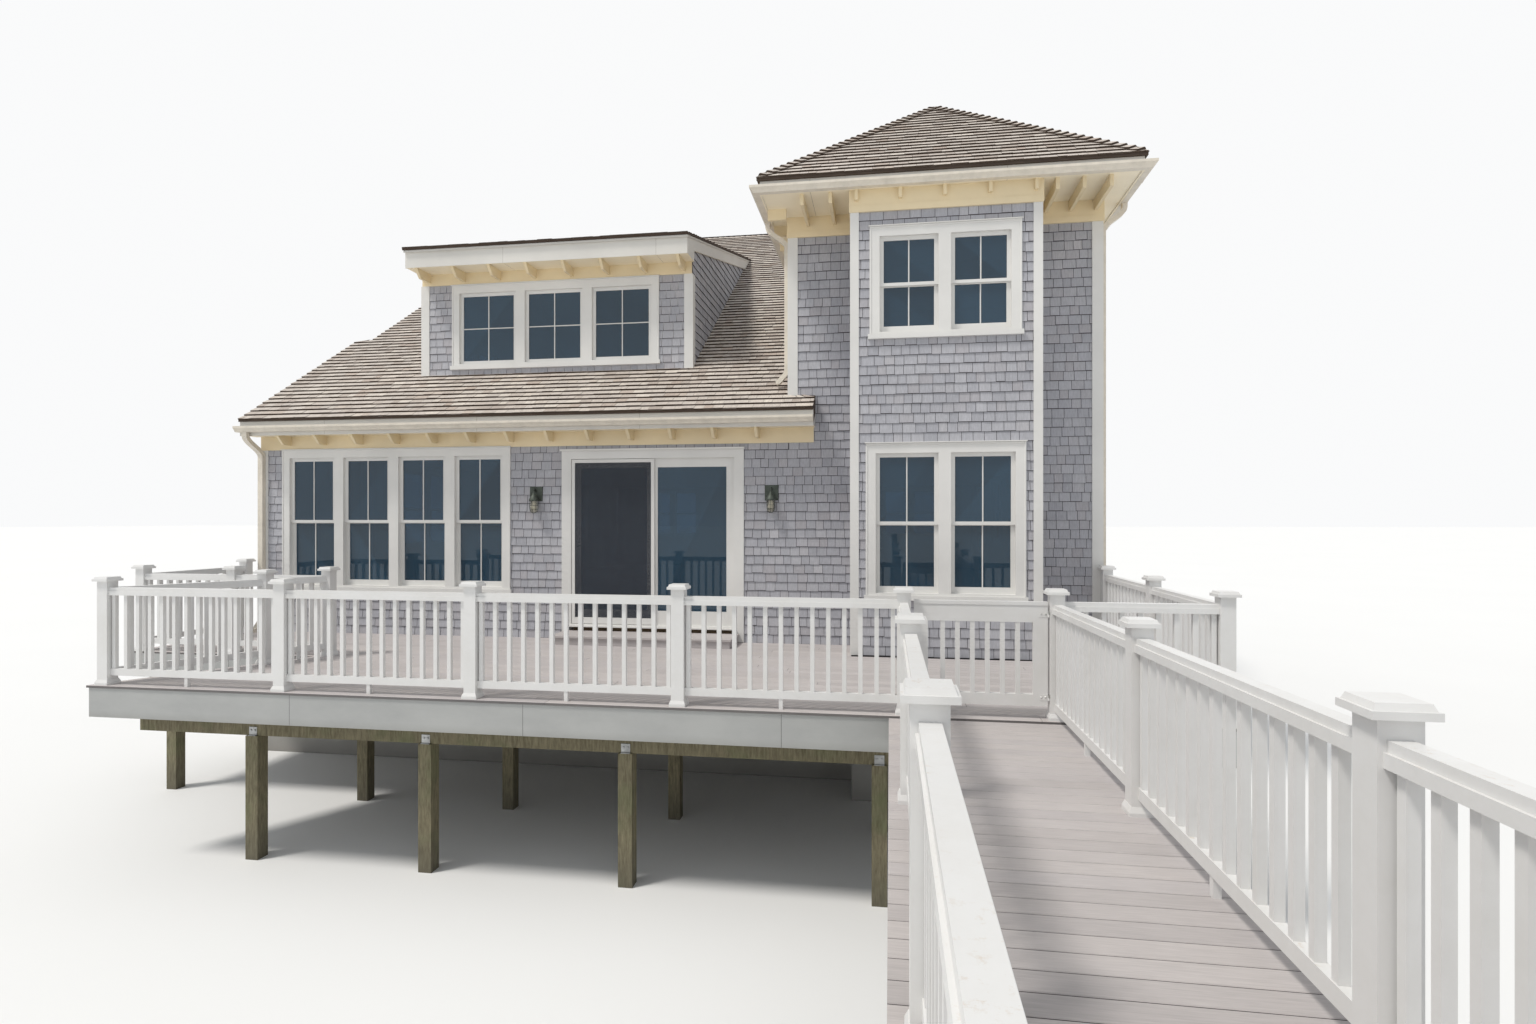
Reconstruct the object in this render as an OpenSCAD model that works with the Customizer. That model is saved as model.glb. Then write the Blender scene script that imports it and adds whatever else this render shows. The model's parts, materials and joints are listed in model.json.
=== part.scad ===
// Shingled beach house on level ground: a gabled main wing with a shed dormer, a hip-roofed corner
// tower with a two-storey box bay, a raised deck with railings, and a boardwalk that ends at a gate.
// Millimetres. X runs to the viewer's right, Y runs into the house, Z is up.
// The origin is at ground level, on the outer face of the front wall, half way along the house.

/* [House] */
// Height of the deck above the ground
deck_h = 1830; // [1500:10:2200]
// Length of the front wall, from corner to corner
house_w = 12192; // [11800:4:12600]
// Thickness of the outer walls
wall_t = 165; // [140:5:200]
// Height of the ground floor above the deck
sill_h = 190; // [150:5:220]
// Height of the upper floor above the deck
upper_h = 3050; // [3000:10:3080]
// Depth of the wider front part of the main wing
jog_y = 2180; // [1800:10:2600]
// Step between the wide and the narrow part of the left wall
jog_w = 294; // [200:2:330]

/* [Main roof] */
// Height of the roof surface over the front wall, above the deck
roof_z = 3402; // [3380:2:3440]
// Rise of the main roof over a run of twelve
roof_rise = 8; // [7.5:0.5:8.5]
// Distance from the front wall to the ridge
ridge_y = 7407; // [7000:1:7600]
// How far the shingles reach out past the wall at the eave
eave_out = 324; // [300:2:360]
// How far the roof reaches past the gable wall
rake_out = 110; // [80:5:120]
// Vertical thickness of the roof slab
roof_t = 240; // [200:5:260]
// Where the front eave ends, in front of the tower
eave_end_x = 2391; // [2300:1:2500]

/* [Dormer] */
// Left face of the dormer
dormer_x0 = -3974; // [-4100:2:-3900]
// Right face of the dormer
dormer_x1 = 440; // [300:5:500]
// Distance from the front wall to the dormer's front
dormer_y = 870; // [800:5:1000]
// Height of the dormer's roof edge above the deck
dormer_z = 5848; // [5800:4:5900]
// Rise of the dormer roof over a run of twelve
dormer_rise = 3; // [2.5:0.5:3.5]
// Overhang of the dormer's eave
dormer_out = 449; // [400:1:500]

/* [Tower] */
// Width of the tower
tower_w = 4064; // [4000:4:4100]
// Depth of the tower
tower_d = 3474; // [3400:2:3500]
// Height of the tower's soffit above the deck
soffit_z = 5832; // [5800:2:5860]
// Height of the tower's roof edge above the deck
tower_eave_z = 6014; // [6000:2:6040]
// Rise of the tower roof for each unit of run
tower_pitch = 0.82; // [0.75:0.01:0.85]
// Overhang of the tower roof in front, over the bay
tower_out_front = 890; // [880:2:920]
// Overhang of the tower roof at the sides
tower_out_side = 300; // [280:2:320]
// Width of the box bay
bay_w = 2288; // [2200:4:2400]
// How far the bay stands out from the wall
bay_d = 762; // [700:2:780]

/* [Deck] */
// Distance from the front wall to the line of the deck's front posts
deck_y = 3700; // [3600:5:3900]
// Distance from the front wall to the left strip's rail
strip_y = 1830; // [1700:5:2000]
// Spacing of the deck's front posts
bay_len = 2030; // [1950:5:2080]
// X of the first front post
post_x0 = -4605; // [-4700:5:-4500]
// X of the gate's hinge post
gate_x = 4795; // [4750:1:4850]
// Thickness of the decking
board_t = 25; // [22:1:32]
// Height of the fascia round the deck
fascia_h = 300; // [250:5:320]
// Width of a post sleeve
sleeve_w = 120; // [110:2:130]
// Height of the railing's top above the deck
rail_h = 1000; // [950:5:1070]
// Height of a post with its cap above the deck
post_h = 1110; // [1080:5:1150]
// Width of a baluster
baluster_w = 38; // [30:1:40]

/* [Boardwalk] */
// Length of one bay of the boardwalk
walk_bay = 2250; // [2200:2:2400]
// Number of bays
walk_bays = 4; // [2:1:6]
// Rise of the boardwalk for each unit of run away from the house
walk_slope = 0.024; // [0:0.001:0.03]
// How far the boards reach past the centre of each railing
walk_edge = 130; // [100:5:150]

/* [Doors and gate] */
// Width of the patio door's frame
door_w = 2440; // [2400:5:2500]
// Height of the patio door's frame
door_h = 2430; // [2380:5:2450]
// X of the middle of the patio door
door_x = 75; // [40:5:120]
// Thickness of the gate
gate_t = 45; // [40:1:50]
// Gap between the gate and its hinge post
gate_gap = 14; // [10:1:20]

/* [Hidden] */
eps = 1;
big = 30000;

roof_pitch = roof_rise / 12;
dormer_pitch = dormer_rise / 12;

// Levels above the ground
floor_z = deck_h + sill_h;
floor_t = 300;
wall_z = floor_z - floor_t;
upper_z = deck_h + upper_h;
roof_top = deck_h + roof_z;
tower_soffit = deck_h + soffit_z;
tower_edge = deck_h + tower_eave_z;

// Plan of the house
x_left = -house_w / 2;
x_right = house_w / 2;
x_rear = x_left + jog_w;
tower_x = x_right - tower_w;
house_d = 2 * ridge_y;
bay_x0 = tower_x + (tower_w - bay_w) / 2;
bay_x1 = bay_x0 + bay_w;
ridge_z = roof_top + roof_pitch * ridge_y;
shingle_t = 30;
foundation_t = 200;

// Colours
shingle_c = "#b3aeb0";
trim_c = "#f1ece0";
roof_c = "#8f7f72";
board_c = "#a59f9d";
timber_c = "#7d776a";
glass_c = "#44545f";
concrete_c = "#9b9892";

// A box between two opposite corners
module span(a, b) {
    translate(a)
        cube([b[0] - a[0], b[1] - a[1], b[2] - a[2]]);
}

// A prism along X from x0 to x1 with an outline given as [y, z] points
module yz_prism(x0, x1, points) {
    translate([x0, 0, 0])
        rotate([90, 0, 90])
            linear_extrude(x1 - x0)
                polygon(points);
}

// A prism along Y from y0 to y1 with an outline given as [x, z] points
module xz_prism(y0, y1, points) {
    translate([0, y1, 0])
        rotate([90, 0, 0])
            linear_extrude(y1 - y0)
                polygon(points);
}

// How far the roof planes are drawn past the eaves when they cut other pieces
roof_run = 4998;
// Gap under a piece that rests on a sloped roof plane
seam = 0.3;

// Height of the main roof's surface over a point y behind the front wall
function roof_at(y) = roof_top + roof_pitch * min(y, house_d - y);

// Everything under the main roof's surface, lowered by drop
module under_roof(drop) {
    yz_prism(-big, big, [[-roof_run, 0], [-roof_run, roof_at(-roof_run) - drop], [ridge_y, ridge_z - drop],
        [house_d + roof_run, roof_at(house_d + roof_run) - drop], [house_d + roof_run, 0]]);
}

// Windows: frames stand in the wall with a casing on the wall's face. Local X runs along the wall,
// local Y into the wall from its outer face, and the local origin is the opening's lower left corner.
casing_w = 96;
casing_t = 22;
jamb_w = 28;
jamb_d = 110;
sash_w = 50;
sash_t = 34;
mullion_w = 96;
pane_t = 6;

function group_w(count, unit_w) = count * unit_w + (count - 1) * mullion_w;

module sash_ring(x, y, z, w, h, rail) {
    difference() {
        span([x, y, z], [x + w, y + sash_t, z + h]);
        span([x + sash_w, y - eps, z + rail], [x + w - sash_w, y + sash_t + eps, z + h - sash_w]);
    }
}

module window_group(count, unit_w, h, hung = true, sill = true) {
    w = group_w(count, unit_w);
    difference() {
        union() {
            span([-casing_w, -casing_t, 0], [w + casing_w, 0, h + casing_w]);
            span([0, 0, 0], [w, jamb_d, h]);
        }
        for (i = [0 : count - 1])
            translate([i * (unit_w + mullion_w), 0, 0])
                span([jamb_w, -casing_t - eps, jamb_w], [unit_w - jamb_w, jamb_d + eps, h - jamb_w]);
    }
    if (sill)
        span([-casing_w - 20, -casing_t - 28, -60], [w + casing_w + 20, 0, 0]);
    for (i = [0 : count - 1])
        translate([i * (unit_w + mullion_w) + jamb_w, 0, jamb_w])
            if (hung) {
                half = (h - 2 * jamb_w) / 2 + 20;
                sash_ring(0, 20, h - 2 * jamb_w - half, unit_w - 2 * jamb_w, half, 40);
                sash_ring(0, 20 + sash_t, 0, unit_w - 2 * jamb_w, half, 80);
            } else
                sash_ring(0, 20, 0, unit_w - 2 * jamb_w, h - 2 * jamb_w, sash_w);
}

// The panes of a window group, held in the sashes
module window_panes(count, unit_w, h, hung = true) {
    for (i = [0 : count - 1])
        translate([i * (unit_w + mullion_w) + jamb_w, 0, jamb_w]) {
            inner_w = unit_w - 2 * jamb_w;
            inner_h = h - 2 * jamb_w;
            half = inner_h / 2 + 20;
            y0 = 20 + (sash_t - pane_t) / 2;
            if (hung) {
                span([sash_w, y0, inner_h - half + 40], [inner_w - sash_w, y0 + pane_t, inner_h - sash_w]);
                span([sash_w, y0 + sash_t, 80], [inner_w - sash_w, y0 + sash_t + pane_t, half - sash_w]);
            } else
                span([sash_w, y0, sash_w], [inner_w - sash_w, y0 + pane_t, inner_h - sash_w]);
        }
}

// Window sizes, as [count, unit width, height], and the places of their openings
front_row = [4, 804, 1967];
front_row_at = [-5636, 0, deck_h + 690];
bay_low = [2, 824, 1800];
bay_low_at = [bay_x0 + (bay_w - group_w(2, 824)) / 2, -bay_d, deck_h + 756];
bay_up = [2, 776, 1250];
bay_up_at = [bay_x0 + (bay_w - group_w(2, 776)) / 2, -bay_d, deck_h + 4015];
dormer_row = [3, 1003, 1175];
dormer_row_at = [(dormer_x0 + dormer_x1 - group_w(3, 1003)) / 2, dormer_y, deck_h + 4130];
rear_pair = [2, 804, 1500];
rear_low_z = deck_h + 1150;
rear_up_z = deck_h + 4000;
rear_w = group_w(2, 804);

// The opening that a window group needs in its wall
module window_hole(size) {
    span([0, -eps, 0], [group_w(size[0], size[1]), wall_t + eps, size[2]]);
}

// Places children at the plain rear and side window pairs of one storey
module back_places(z, xs) {
    for (x = xs)
        translate([x, house_d, z])
            rotate([0, 0, 180])
                children();
}
module left_places(z, ys) {
    for (y = ys)
        translate([x_rear, y, z])
            rotate([0, 0, -90])
                children();
}
module right_places(z, ys) {
    for (y = ys)
        translate([x_right, y, z])
            rotate([0, 0, 90])
                children();
}
back_low_x = [-2900, 1000, 4900];
side_low_y = [4600, 8300, 12000];
side_up_y = [6500, 10016];
right_low_y = [4400, 7900, 11400];
tower_side_y = [900];

// Ground, floors and outer walls

module foundation_walls() {
    color(concrete_c)
        difference() {
            union() {
                span([x_left, 0, 0], [x_right, jog_y, wall_z]);
                span([x_rear, jog_y - eps, 0], [x_right, house_d, wall_z]);
                span([bay_x0, -bay_d, 0], [bay_x1, eps, wall_z]);
            }
            span([x_left + foundation_t, foundation_t, -eps],
                [x_right - foundation_t, jog_y - foundation_t, wall_z + eps]);
            span([x_rear + foundation_t, foundation_t, -eps],
                [x_right - foundation_t, house_d - foundation_t, wall_z + eps]);
            span([bay_x0 + foundation_t, foundation_t - bay_d, -eps],
                [bay_x1 - foundation_t, foundation_t + eps, wall_z + eps]);
        }
}

// Outline of the rooms, inside the outer walls
module room_plan() {
    polygon([[x_left + wall_t, wall_t], [bay_x0 + wall_t, wall_t], [bay_x0 + wall_t, wall_t - bay_d],
        [bay_x1 - wall_t, wall_t - bay_d], [bay_x1 - wall_t, wall_t], [x_right - wall_t, wall_t],
        [x_right - wall_t, house_d - wall_t], [x_rear + wall_t, house_d - wall_t],
        [x_rear + wall_t, jog_y - wall_t], [x_left + wall_t, jog_y - wall_t]]);
}

module main_floor() {
    color("#b99a72")
        translate([0, 0, wall_z])
            linear_extrude(floor_t)
                room_plan();
}

module upper_floor() {
    color("#b99a72")
        translate([0, 0, upper_z - floor_t])
            linear_extrude(floor_t)
                room_plan();
}

door_x0 = door_x - door_w / 2;
door_x1 = door_x + door_w / 2;
door_z = deck_h + 173;
door_top = door_z + door_h;

// A box under the main roof's slab
module wall_box(a, b) {
    intersection() {
        span(a, [b[0], b[1], big / 2]);
        under_roof(roof_t);
    }
}

module front_wall_left() {
    color(shingle_c)
        difference() {
            wall_box([x_left, 0, wall_z], [door_x0, wall_t]);
            translate(front_row_at)
                window_hole(front_row);
        }
}

module front_wall_over_door() {
    color(shingle_c)
        wall_box([door_x0, 0, door_top], [door_x1, wall_t]);
}

module front_wall_right() {
    color(shingle_c)
        wall_box([door_x1, 0, wall_z], [tower_x, wall_t]);
}

// Gable wall: the plan of the left wall with its step, cut to the roof's underside
module left_wall() {
    color(shingle_c)
        difference() {
            intersection() {
                translate([0, 0, wall_z])
                    linear_extrude(big / 3)
                        polygon([[x_left, wall_t], [x_left + wall_t, wall_t],
                            [x_left + wall_t, jog_y - wall_t], [x_rear + wall_t, jog_y - wall_t],
                            [x_rear + wall_t, house_d - wall_t], [x_rear, house_d - wall_t],
                            [x_rear, jog_y], [x_left, jog_y]]);
                under_roof(roof_t);
            }
            left_places(rear_low_z, side_low_y)
                window_hole(rear_pair);
            left_places(rear_up_z, side_up_y)
                window_hole(rear_pair);
        }
}

module right_wall() {
    color(shingle_c)
        difference() {
            intersection() {
                span([x_right - wall_t, tower_d, wall_z], [x_right, house_d - wall_t, big / 2]);
                under_roof(roof_t);
            }
            right_places(rear_low_z, right_low_y)
                window_hole(rear_pair);
            right_places(rear_up_z, [for (y = side_up_y) y - rear_w])
                window_hole(rear_pair);
        }
}

module back_wall() {
    color(shingle_c)
        difference() {
            wall_box([x_rear, house_d - wall_t, wall_z], [x_right, house_d]);
            back_places(rear_low_z, back_low_x)
                window_hole(rear_pair);
        }
}

// Tower and bay

module tower_front_wall() {
    color(shingle_c) {
        span([tower_x, 0, wall_z], [bay_x0 + wall_t, wall_t, tower_soffit]);
        span([bay_x1 - wall_t, 0, wall_z], [x_right, wall_t, tower_soffit]);
    }
}

module tower_side_walls() {
    color(shingle_c) {
        difference() {
            span([tower_x, wall_t, upper_z], [tower_x + wall_t, tower_d - wall_t, tower_soffit]);
            under_roof(roof_t);
        }
        difference() {
            span([x_right - wall_t, wall_t, wall_z], [x_right, tower_d, tower_soffit]);
            right_places(rear_up_z, tower_side_y)
                window_hole(bay_up);
            right_places(rear_low_z, tower_side_y)
                window_hole(rear_pair);
        }
    }
}

module tower_back_wall() {
    color(shingle_c)
        difference() {
            span([tower_x, tower_d - wall_t, upper_z], [x_right - wall_t, tower_d, tower_soffit]);
            under_roof(roof_t);
        }
}

module bay_front_wall() {
    color(shingle_c)
        difference() {
            span([bay_x0, -bay_d, wall_z], [bay_x1, wall_t - bay_d, tower_soffit]);
            translate(bay_low_at)
                window_hole(bay_low);
            translate(bay_up_at)
                window_hole(bay_up);
        }
}

module bay_side_walls() {
    color(shingle_c) {
        span([bay_x0, wall_t - bay_d, wall_z], [bay_x0 + wall_t, 0, tower_soffit]);
        span([bay_x1 - wall_t, wall_t - bay_d, wall_z], [bay_x1, 0, tower_soffit]);
    }
}

// Roofs

fascia_t = 21;
eave_back = eave_out - 39;
rake_in = 32;
eave_core = 52;
soffit_t = 12;
tower_slab = 220;

// A layer of the main roof from x0 to x1, between two depths under the roof surface
module roof_layer(x0, x1, top, bottom, out) {
    yz_prism(x0, x1, [[-out, roof_at(-out) - top], [-out, roof_at(-out) - bottom],
        [ridge_y, ridge_z - bottom], [ridge_y, ridge_z - top]]);
}

module main_roof_front() {
    left = x_left - rake_out;
    right = x_right + rake_out;
    color(roof_c)
        difference() {
            union() {
                difference() {
                    roof_layer(left, right, 0, shingle_t, eave_out);
                    span([left - eps, jog_y + rake_out, 0], [x_rear - rake_out, house_d, big]);
                }
                difference() {
                    roof_layer(left + rake_in, right - rake_in, shingle_t - eps, roof_t, eave_back);
                    span([left - eps, jog_y + rake_out - rake_in, 0],
                        [x_rear - rake_out + rake_in, house_d, big]);
                }
            }
            span([tower_x, 0, 0], [big, tower_d, big]);
            span([eave_end_x, -big, 0], [big, eps, big]);
            span([dormer_x0 + wall_t, dormer_y + wall_t, 0],
                [dormer_x1 - wall_t, dormer_y + 4000, big]);
        }
}

module main_roof_back() {
    left = x_rear - rake_out;
    right = x_right + rake_out;
    color(roof_c)
        translate([0, house_d, 0])
            mirror([0, 1, 0]) {
                roof_layer(left, right, 0, shingle_t, eave_out);
                roof_layer(left + rake_in, right - rake_in, shingle_t - eps, roof_t, eave_back);
            }
}

// Tower roof: a pyramid with shingles that reach out past the fascia
tower_rx0 = tower_x - tower_out_side;
tower_rx1 = x_right + tower_out_side;
tower_half = (tower_rx1 - tower_rx0) / 2;
tower_cx = (tower_rx0 + tower_rx1) / 2;
tower_ry0 = -tower_out_front;
tower_ry1 = tower_ry0 + 2 * tower_half;
tower_cy = tower_ry0 + tower_half;
apex_z = tower_edge + tower_pitch * tower_half;

// A pyramid as the common part of two gable prisms, half wide at base z
module pyramid(half, z, rise) {
    intersection() {
        yz_prism(tower_cx - half, tower_cx + half,
            [[tower_cy - half, z], [tower_cy + half, z], [tower_cy, z + rise]]);
        xz_prism(tower_cy - half, tower_cy + half,
            [[tower_cx - half, z], [tower_cx + half, z], [tower_cx, z + rise]]);
    }
}

// Plan of the tower's and bay's rooms
module tower_room() {
    polygon([[tower_x + wall_t, wall_t], [bay_x0 + wall_t, wall_t], [bay_x0 + wall_t, wall_t - bay_d],
        [bay_x1 - wall_t, wall_t - bay_d], [bay_x1 - wall_t, wall_t], [x_right - wall_t, wall_t],
        [x_right - wall_t, tower_d - wall_t], [tower_x + wall_t, tower_d - wall_t]]);
}

// A square block concentric with the tower roof, inset from its edge
module tower_block(inset, z0, z1) {
    span([tower_rx0 + inset, tower_ry0 + inset, z0], [tower_rx1 - inset, tower_ry1 - inset, z1]);
}

module tower_roof() {
    base = tower_soffit - 60;
    room_half = (apex_z - tower_slab - base) / tower_pitch;
    color(roof_c)
        difference() {
            union() {
                pyramid(tower_half, tower_edge, tower_half * tower_pitch);
                tower_block(0, tower_edge - shingle_t, tower_edge);
                tower_block(eave_core, tower_soffit + soffit_t, tower_edge - shingle_t);
            }
            intersection() {
                linear_extrude(big)
                    tower_room();
                pyramid(room_half, base, room_half * tower_pitch);
            }
            under_roof(-seam);
        }
}

cap_w = 130;
cap_t = 22;

// Caps over the main ridge and the tower's hips, each a folded strip
module ridge_strip(x0, x1) {
    for (side = [0, 1])
        translate([0, side * house_d, 0])
            mirror([0, side, 0])
                yz_prism(x0, x1, [[ridge_y - cap_w, roof_at(ridge_y - cap_w) + seam],
                    [ridge_y - cap_w, roof_at(ridge_y - cap_w) + cap_t], [ridge_y, ridge_z + cap_t],
                    [ridge_y, ridge_z + seam]]);
}

// The hips are the part of a raised pyramid that stands within a cap's width of a hip line
module hip_strips() {
    reach = tower_half * sqrt(2);
    difference() {
        intersection() {
            pyramid(tower_half, tower_edge + cap_t, tower_half * tower_pitch);
            for (turn = [45, 135])
                translate([tower_cx, tower_cy, 0])
                    rotate([0, 0, turn])
                        span([-reach, -cap_w / 2, tower_edge], [reach, cap_w / 2, apex_z + cap_t]);
        }
        pyramid(tower_half, tower_edge + seam, tower_half * tower_pitch);
        under_roof(-seam);
    }
}

module roof_caps() {
    color(roof_c) {
        ridge_strip(x_rear - rake_out, x_right + rake_out);
        hip_strips();
    }
}

// Dormer

dormer_ry = dormer_y - dormer_out;
dormer_top = deck_h + dormer_z;
function dormer_at(y) = dormer_top + dormer_pitch * (y - dormer_ry);
dormer_meet = (dormer_top - dormer_pitch * dormer_ry - roof_top) / (roof_pitch - dormer_pitch);
dormer_back = dormer_ry + 12 * ceil((dormer_meet + 260 - dormer_ry) / 12);
dormer_t = 200;
dormer_side = 46;

module dormer_front_wall() {
    y1 = dormer_y + wall_t;
    color(shingle_c)
        difference() {
            yz_prism(dormer_x0, dormer_x1, [[dormer_y, roof_top], [y1, roof_top],
                [y1, dormer_at(y1) - dormer_t], [dormer_y, dormer_at(dormer_y) - dormer_t]]);
            under_roof(-seam);
            translate(dormer_row_at)
                window_hole(dormer_row);
        }
}

module dormer_cheeks() {
    y0 = dormer_y + wall_t;
    color(shingle_c)
        for (x = [dormer_x0, dormer_x1 - wall_t])
            difference() {
                yz_prism(x, x + wall_t, [[y0, roof_top], [y0, dormer_at(y0) - dormer_t],
                    [dormer_back, dormer_at(dormer_back) - dormer_t], [dormer_back, roof_top]]);
                under_roof(-seam);
            }
}

module dormer_roof() {
    front = dormer_ry + eave_core;
    back = dormer_back;
    color(roof_c)
        difference() {
            union() {
                yz_prism(dormer_x0 - dormer_side, dormer_x1 + dormer_side,
                    [[dormer_ry, dormer_top], [dormer_ry, dormer_top - shingle_t],
                        [back, dormer_at(back) - shingle_t], [back, dormer_at(back)]]);
                yz_prism(dormer_x0 - dormer_side + rake_in, dormer_x1 + dormer_side - rake_in,
                    [[front, dormer_at(front) - shingle_t + eps], [front, dormer_at(front) - dormer_t],
                        [back, dormer_at(back) - dormer_t], [back, dormer_at(back) - shingle_t + eps]]);
            }
            under_roof(-seam);
        }
}

// Eaves: fascias, soffits, frieze boards, rafter tails and gutters

main_soffit = deck_h + 2959;
dormer_soffit = deck_h + 5595;
tail_h = 140;
tail_end = 20;
tail_cut = 110;
tail_inset = 60;
tail_w = 42;
tail_gap = 600;
frieze_t = 20;

// A board on a gable's edge, from y0 to y1 along the main roof
module rake_board(x, y0, y1) {
    intersection() {
        span([x, y0, 0], [x + fascia_t, y1, big]);
        difference() {
            under_roof(shingle_t + seam);
            under_roof(roof_t + 20);
        }
    }
}

// The front eave's closed end, between the soffit and the roof slab
module eave_return(x) {
    intersection() {
        span([x, -eave_back, main_soffit], [x + fascia_t, 0, big / 2]);
        under_roof(roof_t + seam);
    }
}

module main_eave(x0, x1) {
    front = -eave_back - fascia_t;
    yz_prism(x0, x1, [[front, main_soffit - 12], [-eave_back, main_soffit - 12],
        [-eave_back, roof_at(-eave_back) - shingle_t - seam], [front, roof_at(front) - shingle_t - seam]]);
    span([x0, -eave_back, main_soffit], [x1, 0, main_soffit + soffit_t]);
    eave_return(x0);
    eave_return(x1 - fascia_t);
}

module dormer_eave() {
    x0 = dormer_x0 - dormer_side + rake_in - fascia_t;
    x1 = dormer_x1 + dormer_side - rake_in + fascia_t;
    front = dormer_ry + eave_core;
    back = dormer_back;
    yz_prism(x0, x1, [[front - fascia_t, dormer_soffit - 8], [front, dormer_soffit - 8],
        [front, dormer_at(front) - shingle_t - seam],
        [front - fascia_t, dormer_at(front - fascia_t) - shingle_t - seam]]);
    span([x0, front, dormer_soffit], [x1, dormer_y, dormer_soffit + soffit_t]);
    difference() {
        for (x = [x0, x1 - fascia_t]) {
            yz_prism(x, x + fascia_t, [[front, dormer_soffit], [dormer_y, dormer_soffit],
                [dormer_y, dormer_at(dormer_y) - dormer_t], [front, dormer_at(front) - dormer_t]]);
            yz_prism(x, x + fascia_t, [[front, dormer_at(front) - dormer_t],
                [front, dormer_at(front) - shingle_t - seam], [back, dormer_at(back) - shingle_t - seam],
                [back, dormer_at(back) - dormer_t]]);
        }
        under_roof(-seam);
    }
}

// The tower's boxed cornice: a fascia all round and a flat soffit back to the walls
module tower_cornice() {
    difference() {
        union() {
            difference() {
                tower_block(eave_core - fascia_t, tower_soffit - 14, tower_edge - shingle_t);
                tower_block(eave_core, tower_soffit - 20, tower_edge);
            }
            tower_block(eave_core - eps, tower_soffit, tower_soffit + soffit_t);
        }
        linear_extrude(big)
            tower_room();
        under_roof(-seam);
    }
}

module eave_boards() {
    left = x_left - rake_out + rake_in - fascia_t;
    rear = x_rear - rake_out + rake_in - fascia_t;
    right = x_right + rake_out - rake_in;
    color(trim_c) {
        main_eave(left, eave_end_x);
        rake_board(left, -eave_back, jog_y + rake_out - 10);
        span_y = house_d + eave_back;
        rake_board(rear, jog_y + rake_out - 10, span_y);
        rake_board(right, tower_d, span_y);
        translate([0, house_d, 0])
            mirror([0, 1, 0])
                main_eave(rear, right + fascia_t);
        dormer_eave();
        tower_cornice();
    }
}

// Rafter tails: brackets from the wall to the fascia under a flat soffit, their front ends cut back
module tails_x(xs, y0, y1, z, cut = tail_cut) {
    for (x = xs)
        yz_prism(x, x + tail_w, [[y0, z], [y0, z - tail_end], [y0 + cut, z - tail_h], [y1, z - tail_h],
            [y1, z]]);
}

module rafter_tails() {
    front = tower_ry0 + eave_core + tail_inset;
    left = tower_rx0 + eave_core;
    color(trim_c) {
        tails_x([x_left + 480 : tail_gap : eave_end_x - 300], -eave_back, -frieze_t, main_soffit);
        translate([0, house_d, 0])
            mirror([0, 1, 0])
                tails_x([x_rear + 480 : tail_gap : x_right - 300], -eave_back, -frieze_t, main_soffit);
        tails_x([dormer_x0 + 110 : tail_gap - 5 : dormer_x1 - 100], dormer_ry + eave_core,
            dormer_y - frieze_t, dormer_soffit);
        tails_x([bay_x0 - 650, bay_x0 - 290, bay_x1 + 170, bay_x1 + 480, bay_x1 + 790], front, -frieze_t,
            tower_soffit, 0);
        tails_x([for (i = [0 : 4]) bay_x0 + 40 + i * 542], front - tail_inset, -bay_d - frieze_t,
            tower_soffit, 0);
        for (y = [-330 : tail_gap : 3000]) {
            if (y < 0 || y > 200)
                span([left, y, tower_soffit - tail_h], [tower_x - (y < 0 ? -eps : frieze_t), y + tail_w,
                    tower_soffit]);
        }
    }
}

// Gutters: an ogee trough, given as outlines of [distance from the fascia, height]
gutter_h = 86;
gutter_d = 118;
gutter_t = 5;
trough_outer = [[76, 0], [90, 26], [gutter_d, 56], [gutter_d, gutter_h]];
trough_inner = [[73, gutter_t], [85, 30], [gutter_d - gutter_t, 59], [gutter_d - gutter_t, gutter_h - 5],
    [gutter_d - 16, gutter_h - 5], [gutter_d - 16, gutter_h + 2]];
main_gutter_z = deck_h + 2996;
tower_gutter_z = deck_h + 5816;

// A straight gutter on the main eave from x0 to x1, with closed ends
module main_gutter(x0, x1) {
    face = -eave_back - fascia_t;
    outer = concat([[0, 0]], trough_outer, [[0, gutter_h]]);
    inner = concat([[gutter_t, gutter_t]], trough_inner, [[gutter_t, gutter_h + 2]]);
    translate([0, face, main_gutter_z])
        difference() {
            yz_prism(x0, x1, [for (q = outer) [-q[0], q[1]]]);
            yz_prism(x0 + gutter_t, x1 - gutter_t, [for (q = inner) [-q[0], q[1]]]);
        }
}

// The outline of the tower's gutter pushed out from the fascia on both sides of the roof's centre
function both_sides(half, points) = concat([for (q = points) [half + q[0], q[1]]],
    [for (i = [len(points) - 1 : -1 : 0]) [-half - points[i][0], points[i][1]]]);

// The common part of the same outline drawn along X and along Y, which mitres the corners
module mitred(points) {
    far = tower_half + 400;
    translate([tower_cx, tower_cy, tower_gutter_z])
        intersection() {
            yz_prism(-far, far, points);
            xz_prism(-far, far, points);
        }
}

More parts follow.
